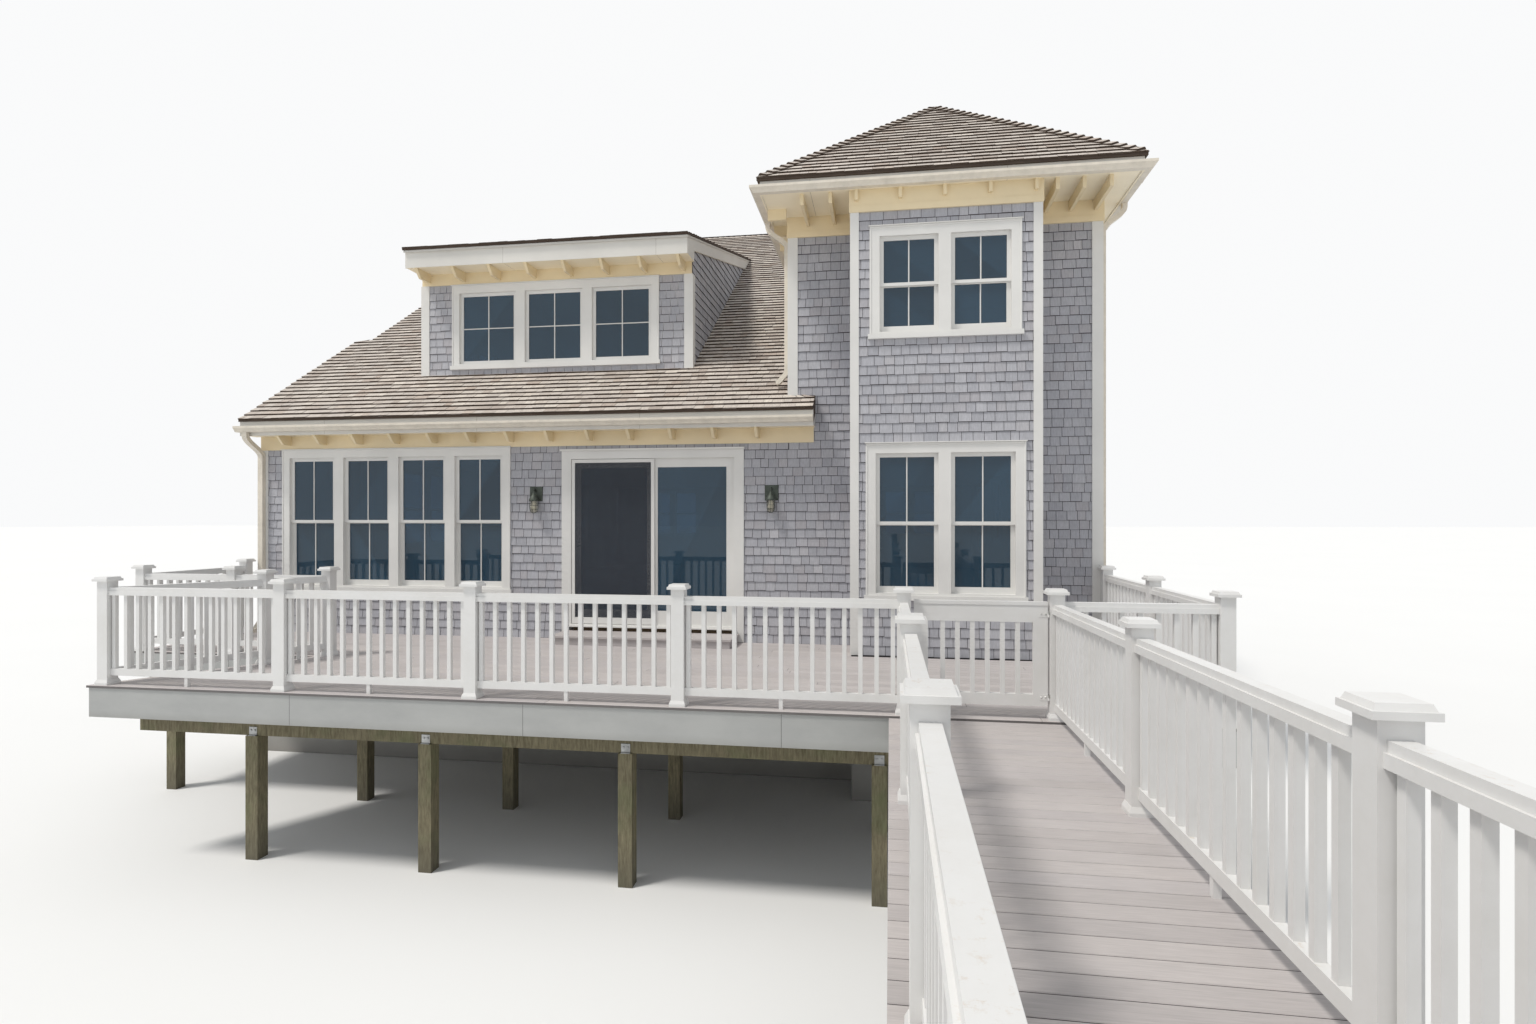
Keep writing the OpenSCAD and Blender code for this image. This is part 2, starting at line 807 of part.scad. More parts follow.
module tower_gutter() {
    half = tower_half - eave_core + fascia_t;
    stop_left = 3250;
    stop_right = tower_ry1 - eave_core;
    difference() {
        union() {
            difference() {
                mitred(both_sides(half, trough_outer));
                mitred(both_sides(half, trough_inner));
            }
            intersection() {
                mitred(both_sides(half, trough_outer));
                union() {
                    span([tower_rx0 - big / 10, stop_left - gutter_t, 0], [tower_cx, stop_left, big]);
                    span([tower_cx, stop_right - gutter_t, 0], [tower_rx1 + big / 10, stop_right, big]);
                    tower_block(eave_core - fascia_t - gutter_t, tower_gutter_z, tower_gutter_z + gutter_h);
                }
            }
        }
        tower_block(eave_core - fascia_t, 0, big);
        span([tower_rx0 - big / 10, stop_left, 0], [tower_cx, big, big]);
        span([tower_cx - eps, stop_right, 0], [tower_rx1 + big / 10, big, big]);
    }
}

module gutters() {
    color(trim_c) {
        main_gutter(x_left - rake_out - 6, eave_end_x + 4);
        translate([0, house_d, 0])
            mirror([0, 1, 0])
                main_gutter(x_rear - rake_out, x_right + rake_out);
        tower_gutter();
    }
}

// Downspouts: pipes that swing in from a gutter to the wall and run down it. Paths are lists of
// [distance from the wall, height]; their corners are mitred.
spout_w = 80;
spout_depth = 62;
spout_gap = 22;
outlet_h = 50;
elbow_h = 290;
elbow_steps = 8;
function heading(p, q) = (q - p) / norm(q - p);
function across(v) = [-v[1], v[0]];
function edge(path, half) = [for (i = [0 : len(path) - 1])
    let (before = heading(path[max(i, 1) - 1], path[max(i, 1)]),
        last = min(i, len(path) - 2),
        after = heading(path[last], path[last + 1]),
        side = across(before) + across(after))
    path[i] + half * side / (side * across(before))];
function reversed(points) = [for (i = [len(points) - 1 : -1 : 0]) points[i]];
function swing(from, to, top, drop) = [for (i = [0 : elbow_steps])
    [from + (to - from) * (1 - cos(180 * i / elbow_steps)) / 2, top - drop * i / elbow_steps]];

// A pipe from a gutter out of reach of the wall, down to the height end with a kicked-out foot
module wall_spout(reach, top, end) {
    near = -spout_depth / 2 - spout_gap;
    path = concat([[-reach, top]], swing(-reach, near, top - outlet_h, elbow_h),
        [[near, end + 160], [near - 110, end + 40], [near - 150, end + 30]]);
    half = spout_depth / 2;
    rotate([90, 0, 90])
        linear_extrude(spout_w, center = true)
            polygon(concat(edge(path, half), reversed(edge(path, -half))));
}

module downspouts() {
    reach = tower_out_side - eave_core + fascia_t + 50;
    y = corner_w / 2 + 90;
    color(trim_c) {
        translate([x_left + spout_w / 2, 0, 0])
            wall_spout(eave_back + fascia_t + 50, main_gutter_z, deck_h);
        translate([tower_x, y, 0])
            rotate([0, 0, -90])
                wall_spout(reach, tower_gutter_z, roof_at(y + spout_w) + 20);
        translate([x_right, y, 0])
            rotate([0, 0, 90])
                wall_spout(reach, tower_gutter_z, 60);
    }
}

corner_w = 118;
bay_corner_w = 90;
tower_frieze_z = deck_h + 5630;
bead_h = 80;
bead_t = 32;

// An upright corner board at a corner of the plan; sx and sy point away from the house
module corner_board(x, y, sx, sy, w, z0, z1) {
    span([min(x + sx * frieze_t, x - sx * w), min(y, y + sy * frieze_t), z0],
        [max(x + sx * frieze_t, x - sx * w), max(y, y + sy * frieze_t), z1]);
    span([min(x, x + sx * frieze_t), min(y, y - sy * w), z0],
        [max(x, x + sx * frieze_t), max(y, y - sy * w), z1]);
}

module corner_boards() {
    top = tower_frieze_z - bead_h;
    main_top = deck_h + 2753;
    color(trim_c) {
        difference() {
            corner_board(tower_x, 0, -1, -1, corner_w, main_top, top);
            under_roof(-seam);
        }
        corner_board(x_right, 0, 1, -1, corner_w, deck_h, top);
        corner_board(bay_x0, -bay_d, -1, -1, bay_corner_w, deck_h, top);
        corner_board(bay_x1, -bay_d, 1, -1, bay_corner_w, deck_h, top);
        corner_board(x_left, 0, -1, -1, corner_w, deck_h, main_top);
        corner_board(x_rear, house_d, -1, 1, corner_w, wall_z, main_top);
        corner_board(x_right, house_d, 1, 1, corner_w, wall_z, main_top);
        difference() {
            for (side = [[dormer_x0, -1], [dormer_x1, 1]])
                corner_board(side[0], dormer_y, side[1], -1, corner_w, roof_top, dormer_soffit - 180);
            under_roof(-seam);
        }
    }
}

// A frieze with a bead under it, on a wall that faces -Y
module frieze(x0, x1, y, z0, z1) {
    span([x0, y - frieze_t, z0], [x1, y, z1]);
    span([x0, y - bead_t, z0 - bead_h], [x1, y, z0]);
}

module frieze_boards() {
    color(trim_c) {
        span([x_left, -frieze_t, deck_h + 2753], [eave_end_x - 21, 0, main_soffit]);
        span([x_rear, house_d, deck_h + 2753], [x_right, house_d + frieze_t, main_soffit]);
        span([dormer_x0, dormer_y - frieze_t, dormer_soffit - 180], [dormer_x1, dormer_y, dormer_soffit]);
        frieze(tower_x - bead_t, bay_x0, 0, tower_frieze_z, tower_soffit);
        frieze(bay_x1, x_right + bead_t, 0, tower_frieze_z, tower_soffit);
        frieze(bay_x0 - bead_t, bay_x1 + bead_t, -bay_d, tower_frieze_z, tower_soffit);
        for (side = [[bay_x0, -1], [bay_x1, 1], [x_right, 1]]) {
            x = side[0];
            y0 = x == x_right ? 0 : -bay_d;
            y1 = x == x_right ? tower_d : 0;
            span([min(x, x + side[1] * frieze_t), y0, tower_frieze_z],
                [max(x, x + side[1] * frieze_t), y1, tower_soffit]);
            span([min(x, x + side[1] * bead_t), y0, tower_frieze_z - bead_h],
                [max(x, x + side[1] * bead_t), y1, tower_frieze_z]);
        }
        difference() {
            union() {
                span([tower_x - frieze_t, 0, tower_frieze_z], [tower_x, tower_d, tower_soffit]);
                span([tower_x - bead_t, 0, tower_frieze_z - bead_h], [tower_x, tower_d, tower_frieze_z]);
            }
            under_roof(-seam);
        }
    }
}

// Windows

module front_windows() {
    color(trim_c)
        translate(front_row_at)
            window_group(front_row[0], front_row[1], front_row[2]);
}

module dormer_windows() {
    color(trim_c)
        translate(dormer_row_at)
            window_group(dormer_row[0], dormer_row[1], dormer_row[2], false);
}

module bay_windows() {
    color(trim_c) {
        translate(bay_low_at)
            window_group(bay_low[0], bay_low[1], bay_low[2]);
        translate(bay_up_at)
            window_group(bay_up[0], bay_up[1], bay_up[2]);
    }
}

module side_and_back_windows() {
    color(trim_c) {
        back_places(rear_low_z, back_low_x)
            window_group(rear_pair[0], rear_pair[1], rear_pair[2]);
        left_places(rear_low_z, side_low_y)
            window_group(rear_pair[0], rear_pair[1], rear_pair[2]);
        left_places(rear_up_z, side_up_y)
            window_group(rear_pair[0], rear_pair[1], rear_pair[2]);
        right_places(rear_low_z, right_low_y)
            window_group(rear_pair[0], rear_pair[1], rear_pair[2]);
        right_places(rear_up_z, [for (y = side_up_y) y - rear_w])
            window_group(rear_pair[0], rear_pair[1], rear_pair[2]);
        right_places(rear_up_z, tower_side_y)
            window_group(bay_up[0], bay_up[1], bay_up[2]);
        right_places(rear_low_z, tower_side_y)
            window_group(rear_pair[0], rear_pair[1], rear_pair[2]);
    }
}

// Patio door: a fixed panel on the right, a sliding panel on the left behind it, and an insect
// screen in front of the sliding panel, each on a track of its own

door_jamb = 35;
door_sill = 40;
door_clear = 6;
door_casing = 106;
stile_w = 110;
top_rail = 120;
bottom_rail = 195;
screen_y = -14;
screen_t = 22;
fixed_y = 16;
panel_t = 40;
slide_y = 62;
panel_lap = 25;
panel_z0 = door_z + door_sill + door_clear;
panel_z1 = door_top - door_sill - door_clear;

// A glazed panel: a ring of stiles and rails
module panel_ring(x0, x1, y, t, stile, top, bottom) {
    difference() {
        span([x0, y, panel_z0], [x1, y + t, panel_z1]);
        span([x0 + stile, y - eps, panel_z0 + bottom], [x1 - stile, y + t + eps, panel_z1 - top]);
    }
}

module panel_pane(x0, x1, y, t, stile, top, bottom, pane) {
    span([x0 + stile, y + (t - pane) / 2, panel_z0 + bottom],
        [x1 - stile, y + (t + pane) / 2, panel_z1 - top]);
}

fixed_x0 = door_x - panel_lap;
fixed_x1 = door_x1 - door_jamb;
slide_x0 = door_x0 + door_jamb + door_clear;
slide_x1 = door_x + panel_lap;
screen_x1 = slide_x1 + 20;

module patio_door_frame() {
    color(trim_c) {
        difference() {
            span([door_x0, -22, door_z], [door_x1, 120, door_top]);
            span([door_x0 + door_jamb, -23, door_z + door_sill],
                [door_x1 - door_jamb, 121, door_top - door_sill]);
        }
        span([door_x0, -62, door_z], [door_x1, -22, door_z + 22]);
        for (x = [door_x0 - door_casing, door_x1])
            span([x, -22, deck_h + 5], [x + door_casing, 0, door_top]);
        span([door_x0 - door_casing, -22, door_top], [door_x1 + door_casing, 0, door_top + 78]);
        span([door_x0 - door_casing - 12, -60, door_top + 78],
            [door_x1 + door_casing + 12, 0, door_top + 100]);
    }
}

module patio_fixed_panel() {
    color(trim_c) {
        panel_ring(fixed_x0, fixed_x1, fixed_y, panel_t, stile_w, top_rail, bottom_rail);
        span([fixed_x0, fixed_y, door_z + door_sill], [fixed_x1, fixed_y + panel_t, panel_z0]);
        span([fixed_x0, fixed_y, panel_z1], [fixed_x1, fixed_y + panel_t, door_top - door_sill]);
    }
}

handle_x = slide_x0 + 55;
handle_z = deck_h + 1180;
module sliding_door_panel() {
    color(trim_c)
        panel_ring(slide_x0, slide_x1, slide_y, panel_t, stile_w, top_rail, bottom_rail);
    color("#b8b8b4") {
        span([handle_x - 14, slide_y - 10, handle_z - 110], [handle_x + 14, slide_y, handle_z + 110]);
        span([handle_x - 8, slide_y - 36, handle_z - 90], [handle_x + 8, slide_y - 24, handle_z + 90]);
        for (z = [handle_z - 90, handle_z + 74])
            span([handle_x - 8, slide_y - 36, z], [handle_x + 8, slide_y - 10, z + 16]);
    }
}

module sliding_door_glass() {
    color(glass_c, 0.5)
        panel_pane(slide_x0, slide_x1, slide_y, panel_t, stile_w, top_rail, bottom_rail, 18);
}

screen_rim = 48;
module screen_frame() {
    color(trim_c)
        panel_ring(slide_x0, screen_x1, screen_y, screen_t, screen_rim, screen_rim, screen_rim + 40);
}

module screen_mesh() {
    color("#3b3f41", 0.6)
        panel_pane(slide_x0, screen_x1, screen_y, screen_t, screen_rim, screen_rim, screen_rim + 40, 3);
}

module ground_floor_glass() {
    color(glass_c, 0.5) {
        translate(front_row_at)
            window_panes(front_row[0], front_row[1], front_row[2]);
        translate(bay_low_at)
            window_panes(bay_low[0], bay_low[1], bay_low[2]);
        back_places(rear_low_z, back_low_x)
            window_panes(rear_pair[0], rear_pair[1], rear_pair[2]);
        left_places(rear_low_z, side_low_y)
            window_panes(rear_pair[0], rear_pair[1], rear_pair[2]);
        right_places(rear_low_z, right_low_y)
            window_panes(rear_pair[0], rear_pair[1], rear_pair[2]);
        right_places(rear_low_z, tower_side_y)
            window_panes(rear_pair[0], rear_pair[1], rear_pair[2]);
        panel_pane(fixed_x0, fixed_x1, fixed_y, panel_t, stile_w, top_rail, bottom_rail, 18);
    }
}

module upper_floor_glass() {
    color(glass_c, 0.5) {
        translate(dormer_row_at)
            window_panes(dormer_row[0], dormer_row[1], dormer_row[2], false);
        translate(bay_up_at)
            window_panes(bay_up[0], bay_up[1], bay_up[2]);
        left_places(rear_up_z, side_up_y)
            window_panes(rear_pair[0], rear_pair[1], rear_pair[2]);
        right_places(rear_up_z, [for (y = side_up_y) y - rear_w])
            window_panes(rear_pair[0], rear_pair[1], rear_pair[2]);
        right_places(rear_up_z, tower_side_y)
            window_panes(bay_up[0], bay_up[1], bay_up[2]);
    }
}

step_h = 120;
step_d = 600;
module door_step() {
    color(board_c) {
        span([door_x0 - 40, -step_d, deck_h + step_h - board_t], [door_x1 + 40, -22, deck_h + step_h]);
        span([door_x0 - 20, 20 - step_d, deck_h], [door_x1 + 20, -22, deck_h + step_h - board_t]);
    }
}

// Wall lanterns beside the patio door: a square plate, and a hood over a caged jar on a short arm
lantern_dx = 1715;
lantern_reach = 95;
hood_r = 70;
jar_r = 60;
module wall_lanterns() {
    color("#4b524c")
        for (x = [door_x - lantern_dx, door_x + lantern_dx])
            translate([x, 0, deck_h]) {
                span([-95, -24, 1965], [95, 0, 2175]);
                span([-14, -lantern_reach, 2095], [14, -20, 2123]);
                translate([0, -lantern_reach, 0]) {
                    translate([0, 0, 1795])
                        cylinder(r = jar_r, h = 175, $fn = 32);
                    translate([0, 0, 1965])
                        cylinder(r = hood_r, h = 70, $fn = 32);
                    translate([0, 0, 2030])
                        cylinder(r = 24, h = 93, $fn = 32);
                }
            }
}

// Deck

gate_x0 = post_x0 + 4 * bay_len;
corner_x = x_right + 35;
deck_edge = 90;
strip_x = x_left - 104;
strip_end_x = -3530;

// Plan of the deck, drawn in from its edge by inset; the side at the house runs to y = back
function deck_slope() = (strip_end_x - post_x0) / (deck_y - strip_y);
function deck_left(y, inset) = post_x0 + (y + deck_y) * deck_slope()
    - (deck_edge - inset) * sqrt(1 + deck_slope() * deck_slope());
function deck_plan(inset, back) =
    let (out = deck_edge - inset)
    [[strip_x - out, back], [strip_x - out, -strip_y - out],
        [deck_left(-strip_y - out, inset), -strip_y - out],
        [deck_left(-deck_y - out, inset), -deck_y - out], [corner_x + out, -deck_y - out],
        [corner_x + out, back]];

module bay_notch(grow) {
    span([bay_x0 - grow, -bay_d - grow, -big / 2], [bay_x1 + grow, big / 10, big / 2]);
}

module deck_boards() {
    color(board_c)
        difference() {
            translate([0, 0, deck_h - board_t])
                linear_extrude(board_t)
                    polygon(deck_plan(0, 0));
            bay_notch(0);
        }
}

fascia_in = 12;
joist_w = 38;
joist_h = 235;
joist_gap = 406;
beam_h = 285;
beam_w = 90;
joist_z = deck_h - board_t - joist_h;
beam_rows = [-3430, -1700];

module deck_frame() {
    color(timber_c) {
        intersection() {
            union() {
                for (x = [strip_x : joist_gap : corner_x])
                    span([x, -deck_y - deck_edge, joist_z], [x + joist_w, -joist_w, deck_h - board_t]);
                span([strip_x - big / 10, -joist_w, joist_z], [corner_x + big / 10, 0, deck_h - board_t]);
                for (y = beam_rows)
                    span([strip_x - deck_edge, y, joist_z - beam_h],
                        [corner_x + deck_edge, y + beam_w, joist_z]);
            }
            difference() {
                translate([0, 0, joist_z - beam_h])
                    linear_extrude(joist_h + beam_h)
                        polygon(deck_plan(fascia_in + 25, 0));
                bay_notch(0);
            }
        }
    }
}

module deck_fascia() {
    color(trim_c)
        translate([0, 0, deck_h - board_t - fascia_h])
            linear_extrude(fascia_h)
                difference() {
                    polygon(deck_plan(fascia_in, 0));
                    polygon(deck_plan(fascia_in + 25, 1));
                }
}

pile_w = 140;
pile_x = [-3150, -1200, 885, 3300, 5550];
module pile(x, y, top) {
    span([x - pile_w / 2, y - pile_w / 2, 0], [x + pile_w / 2, y + pile_w / 2, top]);
}

// Height of the boardwalk's surface at y, which rises away from the house
walk_y0 = -deck_y - deck_edge;
walk_y1 = -deck_y - walk_bays * walk_bay - walk_edge;
walk_drop = 20;
function walk_z(y) = deck_h - walk_drop + walk_slope * (walk_y0 - y);
stringer_h = 190;
bent_h = 140;
walk_x0 = gate_x0 - walk_edge;
walk_x1 = gate_x + walk_edge;

module timber_piles() {
    color(timber_c) {
        for (x = pile_x, y = beam_rows)
            pile(x, y + beam_w / 2, joist_z - beam_h);
        pile(strip_x + 300, beam_rows[1] + beam_w / 2, joist_z - beam_h);
        for (i = [1 : walk_bays], x = [gate_x0, gate_x]) {
            y = -deck_y - i * walk_bay;
            pile(x, y, walk_z(y) - board_t - stringer_h - bent_h - 4);
        }
    }
}

// Railings: a sleeve with a splayed skirt and a stepped flat cap on each post, and panels between them
cap_side = 180;
cap_h = 45;
cap_slab_h = 24;
cap_step = 9;
skirt_w = 150;
skirt_h = 55;
skirt_foot_h = 25;

// A square block from z0 to z1 whose width goes from w0 to w1
module taper(w0, w1, z0, z1) {
    outline = [[-w0 / 2, z0], [w0 / 2, z0], [w1 / 2, z1], [-w1 / 2, z1]];
    intersection() {
        xz_prism(-w0 / 2, w0 / 2, outline);
        yz_prism(-w0 / 2, w0 / 2, outline);
    }
}

// A square block from z0 to z1
module block(w, z0, z1) {
    span([-w / 2, -w / 2, z0], [w / 2, w / 2, z1]);
}

module rail_post(x, y, z) {
    step_w = cap_side - 2 * cap_step;
    translate([x, y, z]) {
        block(skirt_w, 0, skirt_foot_h);
        taper(skirt_w, sleeve_w + 6, skirt_foot_h, skirt_h);
        block(sleeve_w, 0, post_h - cap_h);
        block(cap_side, post_h - cap_h, post_h - cap_h + cap_slab_h);
        taper(step_w, step_w - 16, post_h - cap_h + cap_slab_h, post_h);
    }
}

// Posts at the deck's left end, as [x, y]
function deck_side(t) = [post_x0 + t * (strip_end_x - post_x0), -deck_y + t * (deck_y - strip_y)];
side_post = deck_side(0.674);
strip_end = deck_side(1);
strip_mid = [-4870, -strip_y];
strip_corner = [strip_x, -strip_y];
strip_wall = [strip_x, -189];
front_posts = [for (i = [0 : 4]) [post_x0 + i * bay_len, -deck_y]];
gate_post = [gate_x, -deck_y];
corner_post = [corner_x, -deck_y];
right_mid = [corner_x, -deck_y / 2 - 60];
right_wall_post = [corner_x, -112];

module rail_posts() {
    color(trim_c) {
        for (p = front_posts)
            rail_post(p[0], p[1], deck_h);
        for (p = [gate_post, corner_post, right_mid, right_wall_post, side_post, strip_end, strip_mid,
            strip_corner, strip_wall])
            rail_post(p[0], p[1], deck_h);
        for (i = [1 : walk_bays], x = [gate_x0, gate_x]) {
            y = -deck_y - i * walk_bay;
            difference() {
                rail_post(x, y, walk_z(y + skirt_w / 2));
                walk_slab(walk_y0);
            }
        }
    }
}

// Handrail: a crown on a wider flange; bottom rail and its foot; first baluster's distance from a post
crown_w = 70;
crown_h = 34;
flange_w = 90;
flange_h = 44;
low_w = 48;
low_z = 95;
low_h = 70;
foot_w = 36;
first_gap = 34;
baluster_gap = 139;

// A bar along X whose top and bottom rise by slope, w wide across Y
module bar(x0, x1, z0, z1, w, slope) {
    xz_prism(-w / 2, w / 2, [[x0, z0 + x0 * slope], [x1, z0 + x1 * slope], [x1, z1 + x1 * slope],
        [x0, z1 + x0 * slope]]);
}

// A railing panel between posts at a and b, over a floor at height z under a that rises by rise to b
module rail_panel(a, b, z, rise = 0, start = sleeve_w / 2) {
    d = [b[0] - a[0], b[1] - a[1]];
    run = norm(d);
    slope = rise / run;
    end = run - start;
    flange_z = rail_h - crown_h - flange_h;
    count = round((end - start - 2 * first_gap) / baluster_gap);
    pitch = (end - start - 2 * first_gap) / count;
    foot_x = start + first_gap + floor(count / 2) * pitch;
    half = baluster_w / 2;
    translate([a[0], a[1], z])
        rotate([0, 0, atan2(d[1], d[0])]) {
            bar(start, end, rail_h - crown_h, rail_h, crown_w, slope);
            bar(start, end, flange_z, rail_h - crown_h, flange_w, slope);
            bar(start, end, low_z, low_z + low_h, low_w, slope);
            for (i = [0 : count]) {
                x = start + first_gap + i * pitch;
                bar(x - half, x + half, low_z + low_h, flange_z, baluster_w, slope);
            }
            bar(foot_x - foot_w / 2, foot_x + foot_w / 2, 0, low_z, foot_w, slope);
        }
}

// A panel of the slanted side railing, cut back to the sleeves' faces and clear of the next railings
module side_panel(a, b) {
    clear = flange_w / 2 + 1;
    difference() {
        rail_panel(a, b, deck_h, 0, sleeve_w / 4);
        for (p = [a, b])
            translate([p[0], p[1], 0])
                block(sleeve_w, 0, big);
        span([post_x0, -deck_y - clear, 0], [post_x0 + bay_len, -deck_y + clear, big]);
        span([strip_mid[0], -strip_y - clear, 0], [strip_end[0], -strip_y + clear, big]);
    }
}

module deck_railings() {
    color(trim_c) {
        for (i = [0 : 3])
            rail_panel(front_posts[i], front_posts[i + 1], deck_h);
        rail_panel(gate_post, corner_post, deck_h);
        rail_panel(corner_post, right_mid, deck_h);
        rail_panel(right_mid, right_wall_post, deck_h);
        side_panel(front_posts[0], side_post);
        side_panel(side_post, strip_end);
        rail_panel(strip_mid, strip_end, deck_h);
        rail_panel(strip_corner, strip_mid, deck_h);
        rail_panel(strip_corner, strip_wall, deck_h);
    }
}

// The layer of boards on the boardwalk, from y down to its far end
module walk_slab(y) {
    yz_prism(walk_x0, walk_x1, [[y, walk_z(y) - board_t], [y, walk_z(y)], [walk_y1, walk_z(walk_y1)],
        [walk_y1, walk_z(walk_y1) - board_t]]);
}

module boardwalk_boards() {
    color(board_c)
        walk_slab(walk_y0);
}

module boardwalk_frame() {
    low = board_t + stringer_h;
    start = walk_y0 + fascia_in;
    color(timber_c) {
        for (x = [gate_x0 - 60, (gate_x0 + gate_x) / 2 - joist_w / 2, gate_x + 60 - joist_w])
            yz_prism(x, x + joist_w, [[start, walk_z(start) - low], [start, walk_z(start) - board_t],
                [walk_y1, walk_z(walk_y1) - board_t], [walk_y1, walk_z(walk_y1) - low]]);
        for (i = [1 : walk_bays]) {
            y = -deck_y - i * walk_bay;
            span([walk_x0, y - 45, walk_z(y) - low - bent_h - 4], [walk_x1, y + 45, walk_z(y) - low + 4]);
        }
    }
}

module boardwalk_railings() {
    color(trim_c)
        for (i = [0 : walk_bays - 1], x = [gate_x0, gate_x]) {
            y0 = -deck_y - i * walk_bay;
            y1 = y0 - walk_bay;
            rail_panel([x, y0], [x, y1], walk_z(y0), walk_z(y1) - walk_z(y0));
        }
}

// Gate: hung on the right post with two hinges on the boardwalk's side
gate_r = gate_x - sleeve_w / 2 - gate_gap;
gate_l = gate_x0 + sleeve_w / 2 + 27;
gate_z0 = deck_h + 112;
gate_z1 = deck_h + rail_h;
gate_stile = 120;
hinge_r = 7;
hinge_x = gate_x - sleeve_w / 2 - hinge_r;
hinge_y = -deck_y - gate_t / 2 - hinge_r - 2;
hinge_zs = [gate_z0 + 50, gate_z1 - 130];
knuckle_h = 25;

module gate() {
    y0 = -deck_y - gate_t / 2;
    y1 = -deck_y + gate_t / 2;
    count = 6;
    inner = gate_r - gate_l - 2 * gate_stile;
    pitch = inner / (count + 1);
    color(trim_c) {
        difference() {
            span([gate_l, y0, gate_z0], [gate_r, y1, gate_z1 - 30]);
            span([gate_l + gate_stile, y0 - eps, gate_z0 + 98],
                [gate_r - gate_stile, y1 + eps, gate_z1 - 176]);
        }
        span([gate_l, y0 - 6, gate_z1 - 30], [gate_r, y1 + 6, gate_z1]);
        for (i = [1 : count])
            translate([gate_l + gate_stile + i * pitch, 0, 0])
                span([-baluster_w / 2, -deck_y - baluster_w / 2, gate_z0 + 98],
                    [baluster_w / 2, -deck_y + baluster_w / 2, gate_z1 - 176]);
    }
    color("#c9c9c6")
        for (z = hinge_zs) {
            span([gate_r - 70, hinge_y + hinge_r - 1, z], [gate_r, y0, z + 2 * knuckle_h]);
            span([gate_r - 1, hinge_y + hinge_r - 2, z], [hinge_x, y0, z + knuckle_h]);
            translate([hinge_x, hinge_y, z])
                cylinder(r = hinge_r, h = knuckle_h, $fn = 24);
        }
}

module gate_hinge_brackets() {
    color("#c9c9c6")
        for (z = hinge_zs) {
            translate([hinge_x, hinge_y, z + knuckle_h + 2])
                cylinder(r = hinge_r, h = knuckle_h, $fn = 24);
            span([gate_x - sleeve_w / 2 - 4, hinge_y - 26, z + knuckle_h + 2],
                [gate_x - sleeve_w / 2, hinge_y + 4, z + 2 * knuckle_h + 2]);
        }
}

foundation_walls();
main_floor();
upper_floor();
front_wall_left();
front_wall_over_door();
front_wall_right();
left_wall();
right_wall();
back_wall();
tower_front_wall();
tower_side_walls();
tower_back_wall();
bay_front_wall();
bay_side_walls();
main_roof_front();
main_roof_back();
roof_caps();
tower_roof();
dormer_front_wall();
dormer_cheeks();
dormer_roof();
eave_boards();
rafter_tails();
gutters();
downspouts();
corner_boards();
frieze_boards();
front_windows();
dormer_windows();
bay_windows();
side_and_back_windows();
ground_floor_glass();
upper_floor_glass();
patio_door_frame();
patio_fixed_panel();
door_step();
wall_lanterns();
deck_boards();
deck_frame();
deck_fascia();
timber_piles();
rail_posts();
deck_railings();
boardwalk_boards();
boardwalk_frame();
boardwalk_railings();
gate_hinge_brackets();
gate();
sliding_door_panel();
sliding_door_glass();
screen_frame();
screen_mesh();
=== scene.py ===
"""Looks of a shingled beach house: studio, camera, materials, and the fine pieces laid on the frame.

Metres. X runs to the viewer's right, Y into the house, Z up, with the ground at Z 0 and the outer
face of the front wall at Y 0, as in the part's source.
"""
import json
import math
import random

import bpy
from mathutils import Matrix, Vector


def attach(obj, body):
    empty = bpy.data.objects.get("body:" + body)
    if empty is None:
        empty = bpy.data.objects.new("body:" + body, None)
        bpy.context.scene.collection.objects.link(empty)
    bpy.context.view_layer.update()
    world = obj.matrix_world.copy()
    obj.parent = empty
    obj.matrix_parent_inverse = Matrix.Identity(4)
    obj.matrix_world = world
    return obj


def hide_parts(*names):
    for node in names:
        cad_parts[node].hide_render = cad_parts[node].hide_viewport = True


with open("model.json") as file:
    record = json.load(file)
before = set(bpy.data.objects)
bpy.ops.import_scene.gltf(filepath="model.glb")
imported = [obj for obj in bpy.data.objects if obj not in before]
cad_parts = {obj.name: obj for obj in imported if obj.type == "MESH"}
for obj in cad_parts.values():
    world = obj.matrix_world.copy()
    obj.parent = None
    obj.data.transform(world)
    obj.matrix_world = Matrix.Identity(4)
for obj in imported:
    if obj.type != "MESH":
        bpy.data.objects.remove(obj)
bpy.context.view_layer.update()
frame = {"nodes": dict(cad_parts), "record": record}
rng = random.Random(11)
EX, EY, EZ = Vector((1, 0, 0)), Vector((0, 1, 0)), Vector((0, 0, 1))

# House, from the part's source
DECK = 1.83
WALL_BASE = 1.72
LEFT, RIGHT, REAR_LEFT, TOWER_LEFT = -6.096, 6.096, -5.802, 2.032
DEPTH, JOG, RIDGE_Y, TOWER_DEPTH = 14.814, 2.18, 7.407, 3.474
BAY_LEFT, BAY_RIGHT, BAY_OUT = 2.92, 5.208, 0.762
ROOF_TOP, ROOF_PITCH, EAVE_OUT, RAKE_OUT, EAVE_END = 5.232, 8 / 12, 0.324, 0.11, 2.391
DORMER_LEFT, DORMER_RIGHT, DORMER_FRONT = -3.974, 0.44, 0.87
DORMER_EDGE_Y, DORMER_TOP, DORMER_PITCH, DORMER_MEET, DORMER_SIDE = 0.421, 7.678, 0.25, 5.618, 0.046
TOWER_EDGE, TOWER_PITCH, TOWER_HALF, TOWER_X, TOWER_Y = 7.844, 0.82, 2.332, 4.064, 1.442

